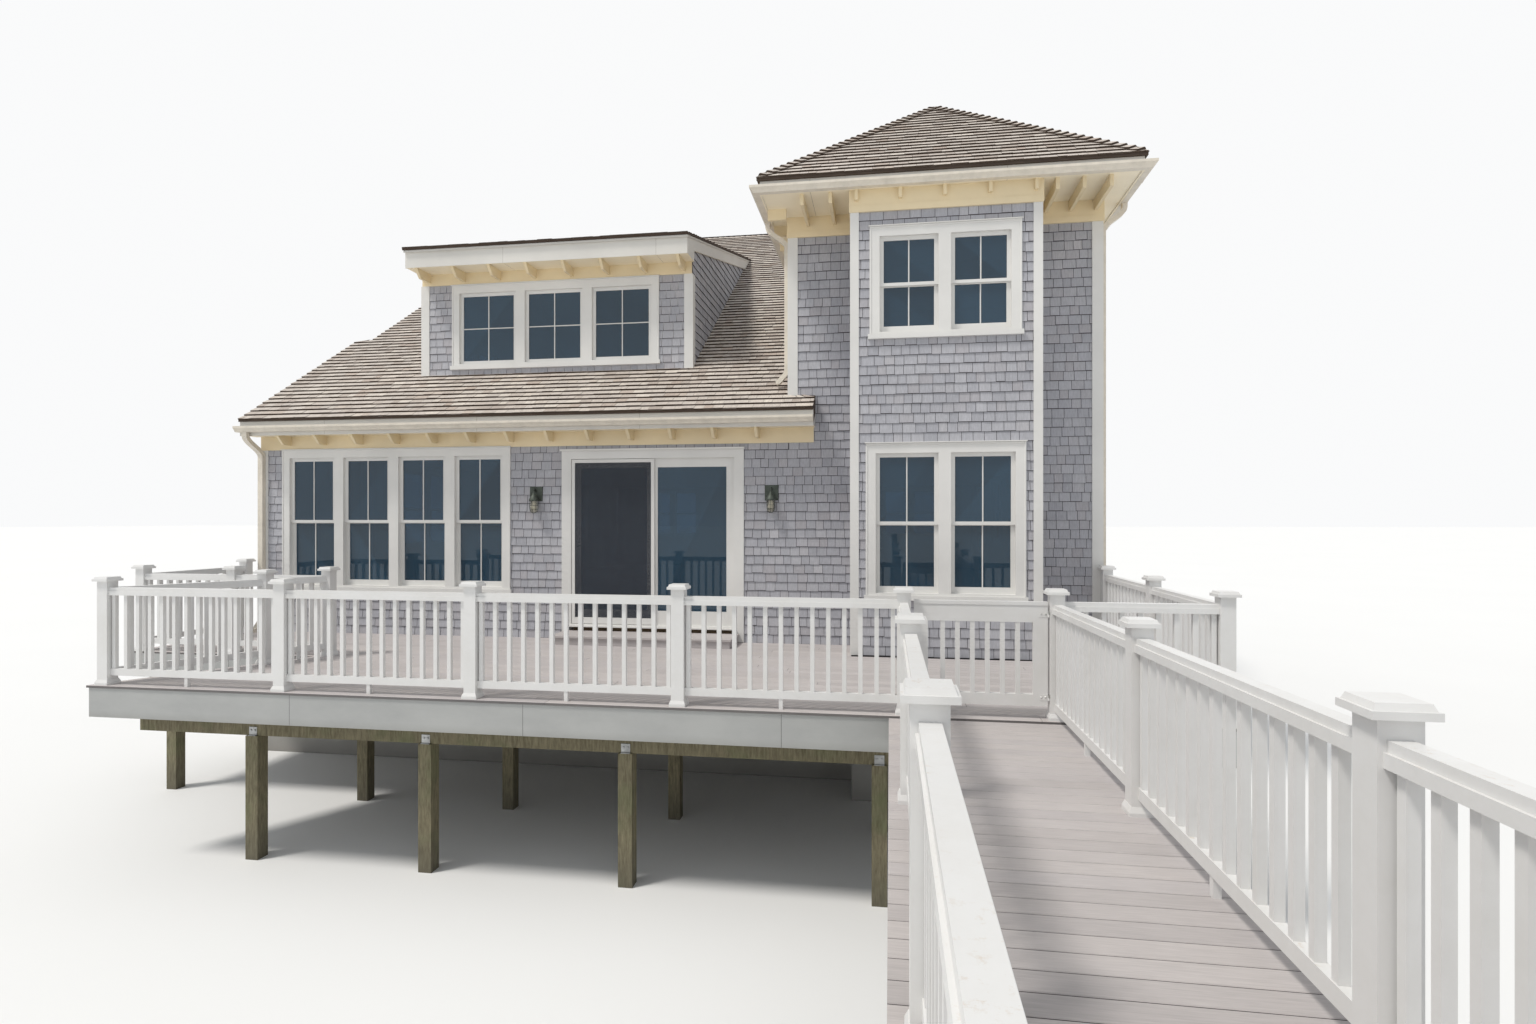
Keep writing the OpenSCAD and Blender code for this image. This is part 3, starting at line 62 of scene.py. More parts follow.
# Tops of the wall shingles, which run up behind the frieze boards by TUCK
TUCK = 0.02
MAIN_SHINGLE_TOP, TOWER_SHINGLE_TOP, DORMER_SHINGLE_TOP = 4.583 + TUCK, 7.38 + TUCK, 7.245 + TUCK

# Deck and boardwalk
DECK_FRONT, STRIP_FRONT, DECK_RIGHT, STRIP_LEFT = -3.79, -1.92, 6.221, -6.29
SLANT_X, SLANT_Y, SLANT = -4.605, -3.70, 1.075 / 1.87
BOARD_T, BOARD_PITCH, BOARD_GAP = 0.025, 0.1455, 0.0065
WALK_LEFT, WALK_RIGHT, WALK_END, WALK_SLOPE = 3.385, 4.925, -12.83, 0.024
GATE_EDGE, GATE_FACE, HINGE_LEVELS = 4.721, -3.7255, (2.017, 2.725)
BEAM_LOW, BEAM_W, BEAM_ROWS = 1.285, 0.09, (-3.43, -1.70)
PILE_X, STRIP_PILE = (-3.15, -1.20, 0.885, 3.30, 5.55), -5.9
BENT_START, BENT_DROP, BENT_PITCH, BENT_COUNT, BENT_X = -3.70, 0.359, 2.25, 4, (3.515, 4.795)

# Gutters, with their outline under and in front in (depth, height), and downspouts
GUTTER_LOW, GUTTER_HIGH, GUTTER_OUT, TOWER_GUTTER = DECK + 2.996, DECK + 5.816, 0.306, TOWER_HALF - 0.031
OGEE = ((0.076, 0.0), (0.084, 0.010), (0.090, 0.026), (0.098, 0.040), (0.110, 0.050), (0.118, 0.060),
        (0.118, 0.086))
SPOUT_X, SPOUT_Y, SPOUT_GAP, SPOUT_WIDTH, SPOUT_DEPTH = -6.056, 0.149, 0.022, 0.08, 0.062

# Windows: (count, unit width, height), the frame's sizes, and where the groups stand
FRONT_ROW, BAY_LOW, BAY_UP = (4, 0.804, 1.967), (2, 0.824, 1.8), (2, 0.776, 1.25)
DORMER_ROW, PAIR = (3, 1.003, 1.175), (2, 0.804, 1.5)
MULLION, JAMB, SASH, CASING = 0.096, 0.028, 0.05, 0.096
FRONT_ROW_LEFT = -5.636
FRONT_SILL, BAY_LOW_SILL, BAY_UP_SILL, DORMER_SILL = DECK + 0.69, DECK + 0.756, DECK + 4.015, DECK + 4.13
LOW_SILL, UP_SILL = DECK + 1.15, DECK + 4.0
BACK_X, LEFT_Y, RIGHT_Y = (-2.9, 1.0, 4.9), (4.6, 8.3, 12.0), (4.4, 7.9, 11.4)
UPPER_Y, TOWER_SIDE_Y = (6.5, 10.016), 0.9
DOOR_LEFT, DOOR_RIGHT, DOOR_TOP = -1.145, 1.295, 4.433
LANTERN_X, LANTERN_PLATE = (-1.64, 1.79), (0.19, 0.21)

WALL_EXPOSURE, ROOF_EXPOSURE = 0.121, 0.14
# No shingle is narrower or lower than this
LEAST = 0.012
# Lengths of the boards round the eaves and the deck, and height of the concrete's forms
EAVE_BOARD, SKIRT_BOARD, FORM_HEIGHT = 2.4, 2.44, 0.61
# Shingles: their narrowest and widest, the butt's thickness, the height of the strip of painted shade under
# the next course, and the joint's width
WALL_STYLE = (0.10, 0.175), 0.015, 0.005, 0.0055
ROOF_STYLE = (0.10, 0.22), 0.023, 0.018, 0.003
STARTER_STYLE = (0.10, 0.22), 0.010, 0.0, 0.003


def roof_at(y):
    """Height of the main roof's surface over y."""
    return ROOF_TOP + ROOF_PITCH * min(y, DEPTH - y)


def dormer_at(y):
    """Height of the dormer roof's surface over y."""
    return DORMER_TOP + DORMER_PITCH * (y - DORMER_EDGE_Y)


def walk_at(y):
    """Height of the boardwalk's surface at y."""
    return DECK - 0.02 + WALK_SLOPE * (DECK_FRONT - y)


def compass(angle):
    """Level unit vectors: one at an angle from X, and one a quarter turn to its left."""
    return Vector((math.cos(angle), math.sin(angle), 0)), Vector((-math.sin(angle), math.cos(angle), 0))


def group_width(size):
    """Width of the opening for a group of window units."""
    return size[0] * size[1] + (size[0] - 1) * MULLION


class Place:
    """Where a window group stands: the opening's lower left corner, seen from outside, and its turn."""

    def __init__(self, x, y, z, turn, size, hung=True):
        self.corner = Vector((x, y, z))
        self.along, self.inward = compass(turn)
        self.size = size
        self.hung = hung

    def at(self, across, depth, height):
        return self.corner + across * self.along + depth * self.inward + height * EZ

    def hole(self, plane, grow=0.03):
        """The opening as (u0, u1, v0, v1) on the wall's plane."""
        a = plane.find(self.at(0, 0, 0))
        b = plane.find(self.at(group_width(self.size), 0, self.size[2]))
        return (min(a[0], b[0]) - grow, max(a[0], b[0]) + grow, a[1] - grow, b[1] + grow)


class Plane:
    """A flat face: an origin, a direction along its courses and one up the face, facing outward."""

    def __init__(self, origin, along, up):
        self.origin = Vector(origin)
        self.along = Vector(along).normalized()
        self.up = Vector(up).normalized()
        self.out = self.along.cross(self.up)

    def at(self, u, v, lift=0.0):
        return self.origin + u * self.along + v * self.up + lift * self.out

    def find(self, point):
        d = Vector(point) - self.origin
        return d.dot(self.along), d.dot(self.up)


class Builder:
    """Collects points and faces and makes one mesh piece of them."""

    def __init__(self):
        self.points = []
        self.faces = []
        self.kinds = []

    def add(self, points, faces, kind=0):
        first = len(self.points)
        self.points.extend(tuple(p) for p in points)
        self.faces.extend(tuple(first + i for i in face) for face in faces)
        self.kinds.extend([kind] * len(faces))

    def loft(self, rings, caps=True, kind=0):
        """A skin through rings of equally many points, with its ends closed by faces."""
        n = len(rings[0])
        points = [p for ring in rings for p in ring]
        faces = []
        for k in range(len(rings) - 1):
            for i in range(n):
                j = (i + 1) % n
                faces.append((k * n + i, k * n + j, (k + 1) * n + j, (k + 1) * n + i))
        if caps:
            faces.append(tuple(reversed(range(n))))
            faces.append(tuple((len(rings) - 1) * n + i for i in range(n)))
        self.add(points, faces, kind)

    def piece(self, name, slot, *materials, body="house"):
        mesh = bpy.data.meshes.new(name)
        mesh.from_pydata(self.points, [], self.faces)
        mesh.polygons.foreach_set("material_index", self.kinds)
        for material in materials:
            mesh.materials.append(material)
        obj = bpy.data.objects.new(name, mesh)
        bpy.context.scene.collection.objects.link(obj)
        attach(obj, body)
        return obj


# Materials


class Finish:
    """A material on the Principled shader, with short calls that add nodes."""

    SOCKETS = {"roughness": "Roughness", "metallic": "Metallic", "ior": "IOR",
               "transmission": "Transmission Weight"}

    def __init__(self, name, **sockets):
        self.material = bpy.data.materials.new(name)
        self.material.use_nodes = True
        self.tree = self.material.node_tree
        self.shader = self.tree.nodes["Principled BSDF"]
        for socket, value in sockets.items():
            self.shader.inputs[self.SOCKETS[socket]].default_value = value

    def feed(self, socket, value):
        """Links another node's output to a socket, or sets a number or a colour on it."""
        if isinstance(value, bpy.types.NodeSocket):
            self.tree.links.new(value, socket)
        else:
            socket.default_value = (*value, 1) if isinstance(value, tuple) else value

    def node(self, kind, inputs):
        """A node of a kind, fed from a dict of its sockets' names or numbers."""
        node = self.tree.nodes.new("ShaderNode" + kind)
        for name, value in inputs.items():
            self.feed(node.inputs[name], value)
        return node

    def coordinates(self):
        return self.tree.nodes.new("ShaderNodeTexCoord").outputs["Object"]

    def place(self, scale):
        """Object coordinates stretched by scale along each axis."""
        mapping = self.node("Mapping", {"Vector": self.coordinates()})
        mapping.inputs["Scale"].default_value = scale
        return mapping.outputs["Vector"]

    def noise(self, scale, stretch=(1, 1, 1), detail=4.0, roughness=0.6):
        inputs = {"Vector": self.place(stretch), "Scale": scale, "Detail": detail, "Roughness": roughness}
        return self.node("TexNoise", inputs).outputs["Fac"]

    def ramp(self, value, *stops):
        """Colours along value; stops are (position, colour)."""
        node = self.tree.nodes.new("ShaderNodeValToRGB")
        elements = node.color_ramp.elements
        while len(elements) < len(stops):
            elements.new(0.5)
        for element, (position, colour) in zip(elements, stops):
            element.position = position
            element.color = (*colour, 1)
        self.tree.links.new(value, node.inputs["Fac"])
        return node.outputs["Color"]

    def mix(self, factor, a, b, blend="MIX"):
        """Colours a and b blended by factor, which go to sockets 6, 7 and 0."""
        node = self.tree.nodes.new("ShaderNodeMix")
        node.data_type = "RGBA"
        node.blend_type = blend
        for number, value in zip((0, 6, 7), (factor, a, b)):
            self.feed(node.inputs[number], value)
        return node.outputs[2]

    def shade(self, factor, colour, value, dark, light):
        """colour times the grey that value gives: dark[1] at dark[0], light[1] at light[0]."""
        greys = self.ramp(value, *((place, (grey,) * 3) for place, grey in (dark, light)))
        return self.mix(factor, colour, greys, "MULTIPLY")

    def math(self, operation, a, b=0.0):
        node = self.node("Math", {0: a, 1: b})
        node.operation = operation
        return node.outputs[0]

    def spread(self, value, low, high, to_low=0.0, to_high=1.0):
        """value carried from low..high to to_low..to_high."""
        inputs = {"Value": value, "From Min": low, "From Max": high, "To Min": to_low, "To Max": to_high}
        return self.node("MapRange", inputs).outputs[0]

    def island(self):
        """A number that differs from shingle to shingle and from board to board."""
        return self.tree.nodes.new("ShaderNodeNewGeometry").outputs["Random Per Island"]

    def axis(self, name):
        return self.node("SeparateXYZ", {"Vector": self.coordinates()}).outputs[name]

    def upward(self):
        """How far the face looks up: 1 for a floor, 0 for a wall and -1 for a ceiling."""
        normal = self.tree.nodes.new("ShaderNodeNewGeometry").outputs["Normal"]
        return self.node("SeparateXYZ", {"Vector": normal}).outputs["Z"]

    def lines(self, axis, spacing, share):
        """1 on lines across an axis, each as wide as a share of their spacing, and 0 between them."""
        turns = self.math("MULTIPLY", self.axis(axis), 1 / spacing)
        return self.math("LESS_THAN", self.math("FRACT", turns), share)

    def use(self, colour=None, roughness=None, bump=None, distance=0.002, strength=0.6):
        """Links the finished colour, roughness and height to the shader."""
        if colour is not None:
            self.feed(self.shader.inputs["Base Color"], colour)
        if roughness is not None:
            self.feed(self.shader.inputs["Roughness"], roughness)
        if bump is not None:
            node = self.node("Bump", {"Height": bump, "Strength": strength, "Distance": distance})
            self.feed(self.shader.inputs["Normal"], node.outputs["Normal"])
        return self.material


def grained(name, tones, stretch, scale, streak, dirt, roughness=0.8):
    """Weathered wood whose tone changes from piece to piece, with grain and blotches."""
    f = Finish(name, roughness=roughness)
    grain = f.noise(scale, stretch, detail=6.0, roughness=0.65)
    blotch = f.noise(1.3, detail=3.0)
    lined = f.shade(streak, f.ramp(f.island(), *tones), grain, (0.3, 0.32), (0.7, 1.0))
    stained = f.shade(dirt, lined, blotch, (0.35, 0.55), (0.65, 1.0))
    return f.use(stained, f.spread(grain, 0.2, 0.8, roughness - 0.1, roughness + 0.08), grain, 0.0015)


def wall_shingle_finish():
    tones = ((0.0, (0.44, 0.442, 0.48)), (0.35, (0.48, 0.481, 0.52)), (0.7, (0.52, 0.52, 0.555)),
             (0.93, (0.465, 0.452, 0.48)), (1.0, (0.56, 0.555, 0.585)))
    return grained("wall_shingle", tones, (9, 9, 1.2), 9.0, streak=0.34, dirt=0.2)


def roof_shingle_finish():
    tones = ((0.0, (0.53, 0.455, 0.40)), (0.3, (0.72, 0.645, 0.58)), (0.6, (0.65, 0.585, 0.53)),
             (0.85, (0.80, 0.725, 0.645)), (1.0, (0.56, 0.465, 0.40)))
    return grained("roof_shingle", tones, (9, 1.2, 1.2), 9.0, streak=0.45, dirt=0.3, roughness=0.85)


def butt_and_shade_finish(name, colour):
    """Sawn ends and sides of shingles: dark partly as the wood's own end grain and partly as painted shade
    for the shadow lines under each course and in the joints.
    """
    f = Finish(name, roughness=0.9)
    dark = tuple(0.6 * c for c in colour)
    return f.use(f.mix(f.noise(60.0), dark, colour), bump=f.noise(90.0), distance=0.001)


def backing_finish(name, outside):
    """Boarding under the shingles, dark partly as painted shade where it shows in the joints and at the
    edges, and smooth pale plaster where the same wall faces the rooms.
    """
    f = Finish(name, roughness=0.85)
    x, y, skin = f.axis("X"), f.axis("Y"), 0.03
    deep = f.math("GREATER_THAN", y, skin)
    shallow = f.math("LESS_THAN", y, DEPTH - skin)
    between = f.math("LESS_THAN", f.math("ABSOLUTE", x), RIGHT - skin)
    inside = f.math("MULTIPLY", f.math("MULTIPLY", deep, shallow), between)
    rough = f.noise(30.0, (1, 1, 3))
    board = f.mix(rough, tuple(0.7 * c for c in outside), outside)
    plaster = f.mix(f.noise(3.0), (0.62, 0.60, 0.56), (0.68, 0.66, 0.62))
    return f.use(f.mix(inside, board, plaster), bump=rough, distance=0.001)


def paint_finish(name, colour):
    """Painted trim: an even satin coat with faint brush lines and a little dust."""
    roughness, soil = 0.42, 0.10
    f = Finish(name, roughness=roughness)
    brush = f.noise(40.0, (1, 1, 0.15), detail=5.0)
    cloud = f.noise(0.9, detail=5.0)
    worn = tuple((1 - soil) * c for c in colour)
    tint = f.mix(f.spread(cloud, 0.35, 0.65), worn, colour)
    shade = f.spread(brush, 0.3, 0.7, roughness - 0.05, roughness + 0.12)
    return f.use(tint, shade, brush, distance=0.0006, strength=0.35)


def eave_finish(white, cream_and_bounce_light):
    """Painted eaves: white on the fascias, and on the soffits under them, the faces that look down, a warm
    cream that is partly paint and partly painted warm bounce light.
    """
    f = Finish("eave_paint_and_bounce_light", roughness=0.5)
    # Faces that look down take the cream: partly paint, partly painted warm bounce light
    under = f.math("LESS_THAN", f.upward(), -0.5)
    cloud = f.spread(f.noise(0.9, detail=5.0), 0.35, 0.65, 0.9, 1.0)
    tint = f.shade(1.0, f.mix(under, white, cream_and_bounce_light), cloud, (0.9, 0.9), (1.0, 1.0))
    joined = f.mix(f.lines("X", EAVE_BOARD, 0.0016), tint, (0.3, 0.27, 0.22))
    brush = f.noise(40.0, (0.15, 1, 1), detail=5.0)
    return f.use(joined, f.spread(brush, 0.3, 0.7, 0.42, 0.6), brush, distance=0.0006, strength=0.35)


def fascia_finish():
    """Grey composite skirt boards round the deck, with butt joints and a soiled lower edge."""
    f = Finish("deck_skirt", roughness=0.55)
    cloud = f.noise(1.4, (1, 1, 2), detail=7.0, roughness=0.65)
    tint = f.mix(f.spread(cloud, 0.35, 0.7), (0.42, 0.425, 0.415), (0.365, 0.37, 0.365))
    soil = f.spread(f.axis("Z"), DECK - 0.325, DECK - 0.25, 0.35, 0.0)
    joint = f.lines("X", SKIRT_BOARD, 0.0018)
    grey = f.mix(joint, f.mix(soil, tint, (0.26, 0.255, 0.23)), (0.10, 0.10, 0.095))
    relief = f.math("SUBTRACT", f.noise(30.0, (0.2, 1, 2), detail=5.0), joint)
    return f.use(grey, f.spread(cloud, 0.3, 0.7, 0.48, 0.65), relief, distance=0.001)


def vinyl_finish():
    """White railing vinyl, with rusty specks on the faces that lie open to the rain."""
    f = Finish("rail_vinyl", roughness=0.34, ior=1.5)
    cloud = f.noise(2.2, detail=6.0, roughness=0.7)
    tint = f.mix(f.spread(cloud, 0.42, 0.75), (0.74, 0.735, 0.725), (0.685, 0.675, 0.655))
    level = f.math("GREATER_THAN", f.upward(), 0.8)
    specks = f.spread(f.noise(26.0, detail=8.0, roughness=0.75), 0.56, 0.68, 0.0, 0.55)
    patches = f.spread(f.noise(1.7, detail=3.0), 0.45, 0.62)
    rust_and_shade_strip = f.math("MULTIPLY", f.math("MULTIPLY", level, specks), patches)
    aged = f.mix(rust_and_shade_strip, tint, (0.50, 0.36, 0.22))
    return f.use(aged, f.spread(cloud, 0.3, 0.7, 0.3, 0.48), f.noise(160.0), distance=0.0002, strength=0.3)


def metal_finish(name, colour, roughness, metallic=0.0, wear=0.2):
    """Enamelled or bare metal with cloudy wear."""
    f = Finish(name, roughness=roughness, metallic=metallic)
    cloud = f.noise(7.0, detail=8.0, roughness=0.7)
    worn = tuple((1 - wear) * c for c in colour)
    tint = f.mix(f.spread(cloud, 0.4, 0.7), colour, worn)
    return f.use(tint, f.spread(cloud, 0.3, 0.7, roughness, roughness + 0.15), cloud, distance=0.0004)


def plank_finish(name="deck_plank", shade=1.0):
    """Composite boards with an embossed grain; the sides, seen in the joints and along the deck's edge,
    take a darker copy of it as painted shade.
    """
    tones = ((0.0, (0.50, 0.463, 0.455)), (0.4, (0.565, 0.523, 0.51)), (0.75, (0.53, 0.493, 0.49)),
             (1.0, (0.60, 0.557, 0.54)))
    tones = tuple((place, tuple(shade * c for c in colour)) for place, colour in tones)
    return grained(name, tones, (0.6, 14, 14), 10.0, streak=0.32, dirt=0.18, roughness=0.7)


def timber_finish():
    """Treated timber: greenish brown with checks along the grain, and darker near the ground; its tones are
    dark partly as painted shade of the space under the deck.
    """
    f = Finish("treated_timber", roughness=0.85)
    grain = f.noise(12.0, (4, 4, 0.6), detail=8.0, roughness=0.7)
    moss = f.noise(2.5, detail=6.0)
    # Tones kept dark partly as painted shade of the space under the deck
    tones = (0.3, (0.10, 0.085, 0.05)), (0.55, (0.21, 0.185, 0.115)), (0.75, (0.29, 0.26, 0.17))
    wood = f.ramp(grain, *tones)
    green = f.mix(f.spread(moss, 0.5, 0.75, 0, 0.6), wood, (0.13, 0.155, 0.07))
    damp = f.spread(f.axis("Z"), 0.0, 0.5, 0.6, 0.0)
    return f.use(f.mix(damp, green, (0.08, 0.075, 0.06)), bump=grain, distance=0.004)


def concrete_finish():
    """Cast walls with form lines, pores and rising damp."""
    f = Finish("concrete", roughness=0.9)
    pores = f.noise(55.0, detail=5.0)
    cloud = f.noise(1.1, detail=7.0)
    tint = f.mix(f.spread(cloud, 0.35, 0.7), (0.42, 0.41, 0.39), (0.34, 0.33, 0.31))
    line = f.lines("Z", FORM_HEIGHT, 0.012)
    damp = f.spread(f.axis("Z"), 0.0, 0.35, 0.5, 0.0)
    grey = f.mix(damp, f.mix(line, tint, (0.27, 0.26, 0.24)), (0.20, 0.19, 0.17))
    return f.use(grey, bump=f.math("SUBTRACT", pores, line), distance=0.003)


def floor_board_finish():
    """Oiled floor boards in rows, with dark joints."""
    f = Finish("floor_boards", roughness=0.45)
    boards = f.node("TexBrick", {"Vector": f.place((1, 1, 1)), "Scale": 1.0, "Color1": (0.42, 0.29, 0.17),
                                 "Color2": (0.34, 0.23, 0.13), "Mortar": (0.10, 0.07, 0.04),
                                 "Brick Width": 1.9, "Row Height": 0.12, "Mortar Size": 0.002})
    grain = f.noise(10.0, (0.6, 12, 12), detail=6.0)
    wood = f.shade(0.35, boards.outputs["Color"], grain, (0.3, 0.5), (0.7, 1.0))
    return f.use(wood, bump=grain, distance=0.0005)


def glass_finish(name, tint):
    """Window glass over unlit rooms: mostly reflection, with a see-through body whose bluish tint is dark
    partly as painted shade of the rooms behind.
    """
    f = Finish(name, roughness=0.02, ior=1.5, transmission=0.72)
    wave = f.noise(0.8, detail=2.0)
    colour = f.mix(f.mix(0.5, wave, f.island()), tuple(0.6 * c for c in tint), tuple(1.4 * c for c in tint))
    return f.use(colour, bump=wave, distance=0.004, strength=0.15)


def screen_finish():
    """Insect mesh: dark threads with gaps, drawn by two sets of fine waves."""
    f = Finish("insect_mesh", roughness=0.6)
    f.feed(f.shader.inputs["Base Color"], (0.035, 0.042, 0.058))
    spacing, share = 0.0016, 0.34
    thread = f.math("MAXIMUM", f.lines("X", spacing, share), f.lines("Z", spacing, share))
    cloud = f.spread(f.noise(5.0), 0.3, 0.7, 0.9, 1.0)
    f.feed(f.shader.inputs["Alpha"], f.math("MULTIPLY", thread, cloud))
    return f.use(bump=thread, distance=0.0002)


# Shingles and boards


def cut(cells, hole):
    """The parts of cells, each (u0, u1, v0, v1), that lie outside a hole of the same form."""
    rest = []
    for u0, u1, v0, v1 in cells:
        if hole[1] <= u0 or hole[0] >= u1 or hole[3] <= v0 or hole[2] >= v1:
            rest.append((u0, u1, v0, v1))
            continue
        a, b = max(u0, hole[0]), min(u1, hole[1])
        if hole[0] > u0:
            rest.append((u0, hole[0], v0, v1))
        if hole[1] < u1:
            rest.append((hole[1], u1, v0, v1))
        if hole[2] > v0:
            rest.append((a, b, v0, hole[2]))
        if hole[3] < v1:
            rest.append((a, b, hole[3], v1))
    return rest


def shingle(build, plane, low, high, butt, thin=0.001, rust_and_shade_strip=0.0):
    """One wedge; low and high are (left, right, v) of its butt and of its hidden upper end.

    From a given share of its length up, in the angle under the next course, its face takes the butt
    material as a strip of painted shade.
    """
    points = [plane.at(low[0], low[2]), plane.at(low[1], low[2]),
              plane.at(low[1], low[2], butt), plane.at(low[0], low[2], butt),
              plane.at(high[1], high[2], thin), plane.at(high[0], high[2], thin)]
    ends = [(0, 1, 2, 3), (0, 3, 5), (1, 4, 2)]
    # The face's upper strip, under the next course, is painted shade in the butt material
    if rust_and_shade_strip:
        points += [points[2].lerp(points[4], rust_and_shade_strip), points[3].lerp(points[5], rust_and_shade_strip)]
        build.add(points, [(3, 2, 6, 7)])
        build.add(points, ends + [(7, 6, 4, 5)], kind=1)
    else:
        build.add(points, [(3, 2, 4, 5)])
        build.add(points, ends, kind=1)


def fill(build, plane, cell, left, right, style, lap):
    """A run of shingles of mixed widths across one cell, trimmed to the face's left and right edges."""
    widths, butt, dark, gap = style
    u0, u1, v0, v1 = cell
    top = v1 + lap
    u = u0 - rng.uniform(0.0, 0.6) * widths[0]
    while u < u1:
        width = rng.uniform(*widths)
        a, b = max(u, u0), min(u + width, u1) - gap
        u += width
        low = (max(a, left(v0)), min(b, right(v0)))
        high = (max(a, left(v1)), min(b, right(v1)))
        if max(low[1] - low[0], high[1] - high[0]) < LEAST:
            continue
        low = (low[0], max(low)) if low[1] > low[0] else ((low[0] + low[1]) / 2,) * 2
        high = (high[0], max(high)) if high[1] > high[0] else ((high[0] + high[1]) / 2,) * 2
        thick = butt * rng.uniform(0.85, 1.12)
        shift = rng.uniform(-0.004, 0.004)
        # Where the strip of painted shade under the next course begins, as a share of the shingle's length
        rust_and_shade_strip = (v1 - dark - v0) / (top - v0) if v1 - v0 > 2 * dark > 0 else 0.0
        shingle(build, plane, (*low, v0 + shift), (*high, top), thick, rust_and_shade_strip=rust_and_shade_strip)


def courses(build, plane, bottom, top, left, right, exposure, style, holes=(), lap=0.03):
    """Courses of shingles up a face; left and right give its edges at a height v."""
    v = bottom
    while v < top - LEAST:
        v1 = min(v + exposure, top)
        cells = [(min(left(v), left(v1)), max(right(v), right(v1)), v, v1)]
        for hole in holes:
            cells = cut(cells, hole)
        for cell in cells:
            if cell[1] - cell[0] > LEAST and cell[3] - cell[2] > LEAST:
                fill(build, plane, cell, left, right, style, lap if cell[3] == v1 else 0.0)
        v = v1


def flat(value):
    """An edge or a surface that stays at one value."""
    return lambda v: value


def wall_courses(build, plane, left, right, bottom, top, places=(), extra=()):
    """Wall shingles between upright edges, round the windows in places."""
    holes = [p.hole(plane) for p in places] + list(extra)
    left = left if callable(left) else flat(left)
    right = right if callable(right) else flat(right)
    courses(build, plane, bottom, top, left, right, WALL_EXPOSURE, WALL_STYLE, holes, lap=0.02)


# Upright planes; u is X or Y on the front and the right, and -X or -Y on the back and the left


def front_face(y):
    return Plane((0, y, 0), EX, EZ)


def right_face(x):
    return Plane((x, 0, 0), EY, EZ)


def left_face(x):
    return Plane((x, 0, 0), -EY, EZ)


def back_face(y):
    return Plane((0, y, 0), -EX, EZ)


def plank(build, y0, y1, top, left, right):
    """A deck board with eased upper edges, its sides and underside in the darker copy of painted shade;
    top, left and right are functions of y.
    """
    ease = 0.003
    section = [(y0, top(y0) - BOARD_T), (y1, top(y1) - BOARD_T), (y1, top(y1) - ease),
               (y1 - ease, top(y1)), (y0 + ease, top(y0)), (y0, top(y0) - ease)]
    build.loft([[(end(y), y, z) for y, z in section] for end in (left, right)])
    first = len(build.kinds) - 8
    underside, back, front, ends = 0, 1, 5, (6, 7)
    for side in (underside, back, front, *ends):
        build.kinds[first + side] = 1


# The photographed house, in pieces

front_row = Place(FRONT_ROW_LEFT, 0, FRONT_SILL, 0, FRONT_ROW)
bay_centre = (BAY_LEFT + BAY_RIGHT) / 2
bay_low = Place(bay_centre - group_width(BAY_LOW) / 2, -BAY_OUT, BAY_LOW_SILL, 0, BAY_LOW)
bay_up = Place(bay_centre - group_width(BAY_UP) / 2, -BAY_OUT, BAY_UP_SILL, 0, BAY_UP)
dormer_centre = (DORMER_LEFT + DORMER_RIGHT) / 2
dormer_row = Place(dormer_centre - group_width(DORMER_ROW) / 2, DORMER_FRONT, DORMER_SILL, 0, DORMER_ROW,
                   hung=False)
back_places = [Place(x, DEPTH, LOW_SILL, math.pi, PAIR) for x in BACK_X]
left_places = ([Place(REAR_LEFT, y, LOW_SILL, -math.pi / 2, PAIR) for y in LEFT_Y]
               + [Place(REAR_LEFT, y, UP_SILL, -math.pi / 2, PAIR) for y in UPPER_Y])
right_places = ([Place(RIGHT, y, LOW_SILL, math.pi / 2, PAIR) for y in (*RIGHT_Y, TOWER_SIDE_Y)]
                + [Place(RIGHT, y - group_width(PAIR), UP_SILL, math.pi / 2, PAIR) for y in UPPER_Y]
                + [Place(RIGHT, TOWER_SIDE_Y, UP_SILL, math.pi / 2, BAY_UP)])
all_places = [front_row, bay_low, bay_up, dormer_row] + back_places + left_places + right_places


def front_wall_shingles(finish):
    build = Builder()
    face = front_face(0)
    door = (DOOR_LEFT, DOOR_RIGHT, 0, DOOR_TOP)
    above_eave = (LEFT, TOWER_LEFT, MAIN_SHINGLE_TOP, TOWER_EDGE)
    heights = (DECK, TOWER_SHINGLE_TOP)
    wall_courses(build, face, LEFT, BAY_LEFT, *heights, [front_row], [door, above_eave])
    wall_courses(build, face, BAY_RIGHT, RIGHT, *heights)
    wall_courses(build, front_face(-BAY_OUT), BAY_LEFT, BAY_RIGHT, *heights, [bay_low, bay_up])
    wall_courses(build, left_face(BAY_LEFT), 0, BAY_OUT, *heights)
    wall_courses(build, right_face(BAY_RIGHT), -BAY_OUT, 0, *heights)
    return build.piece("front_wall_shingles", "wall_shingles", *finish)


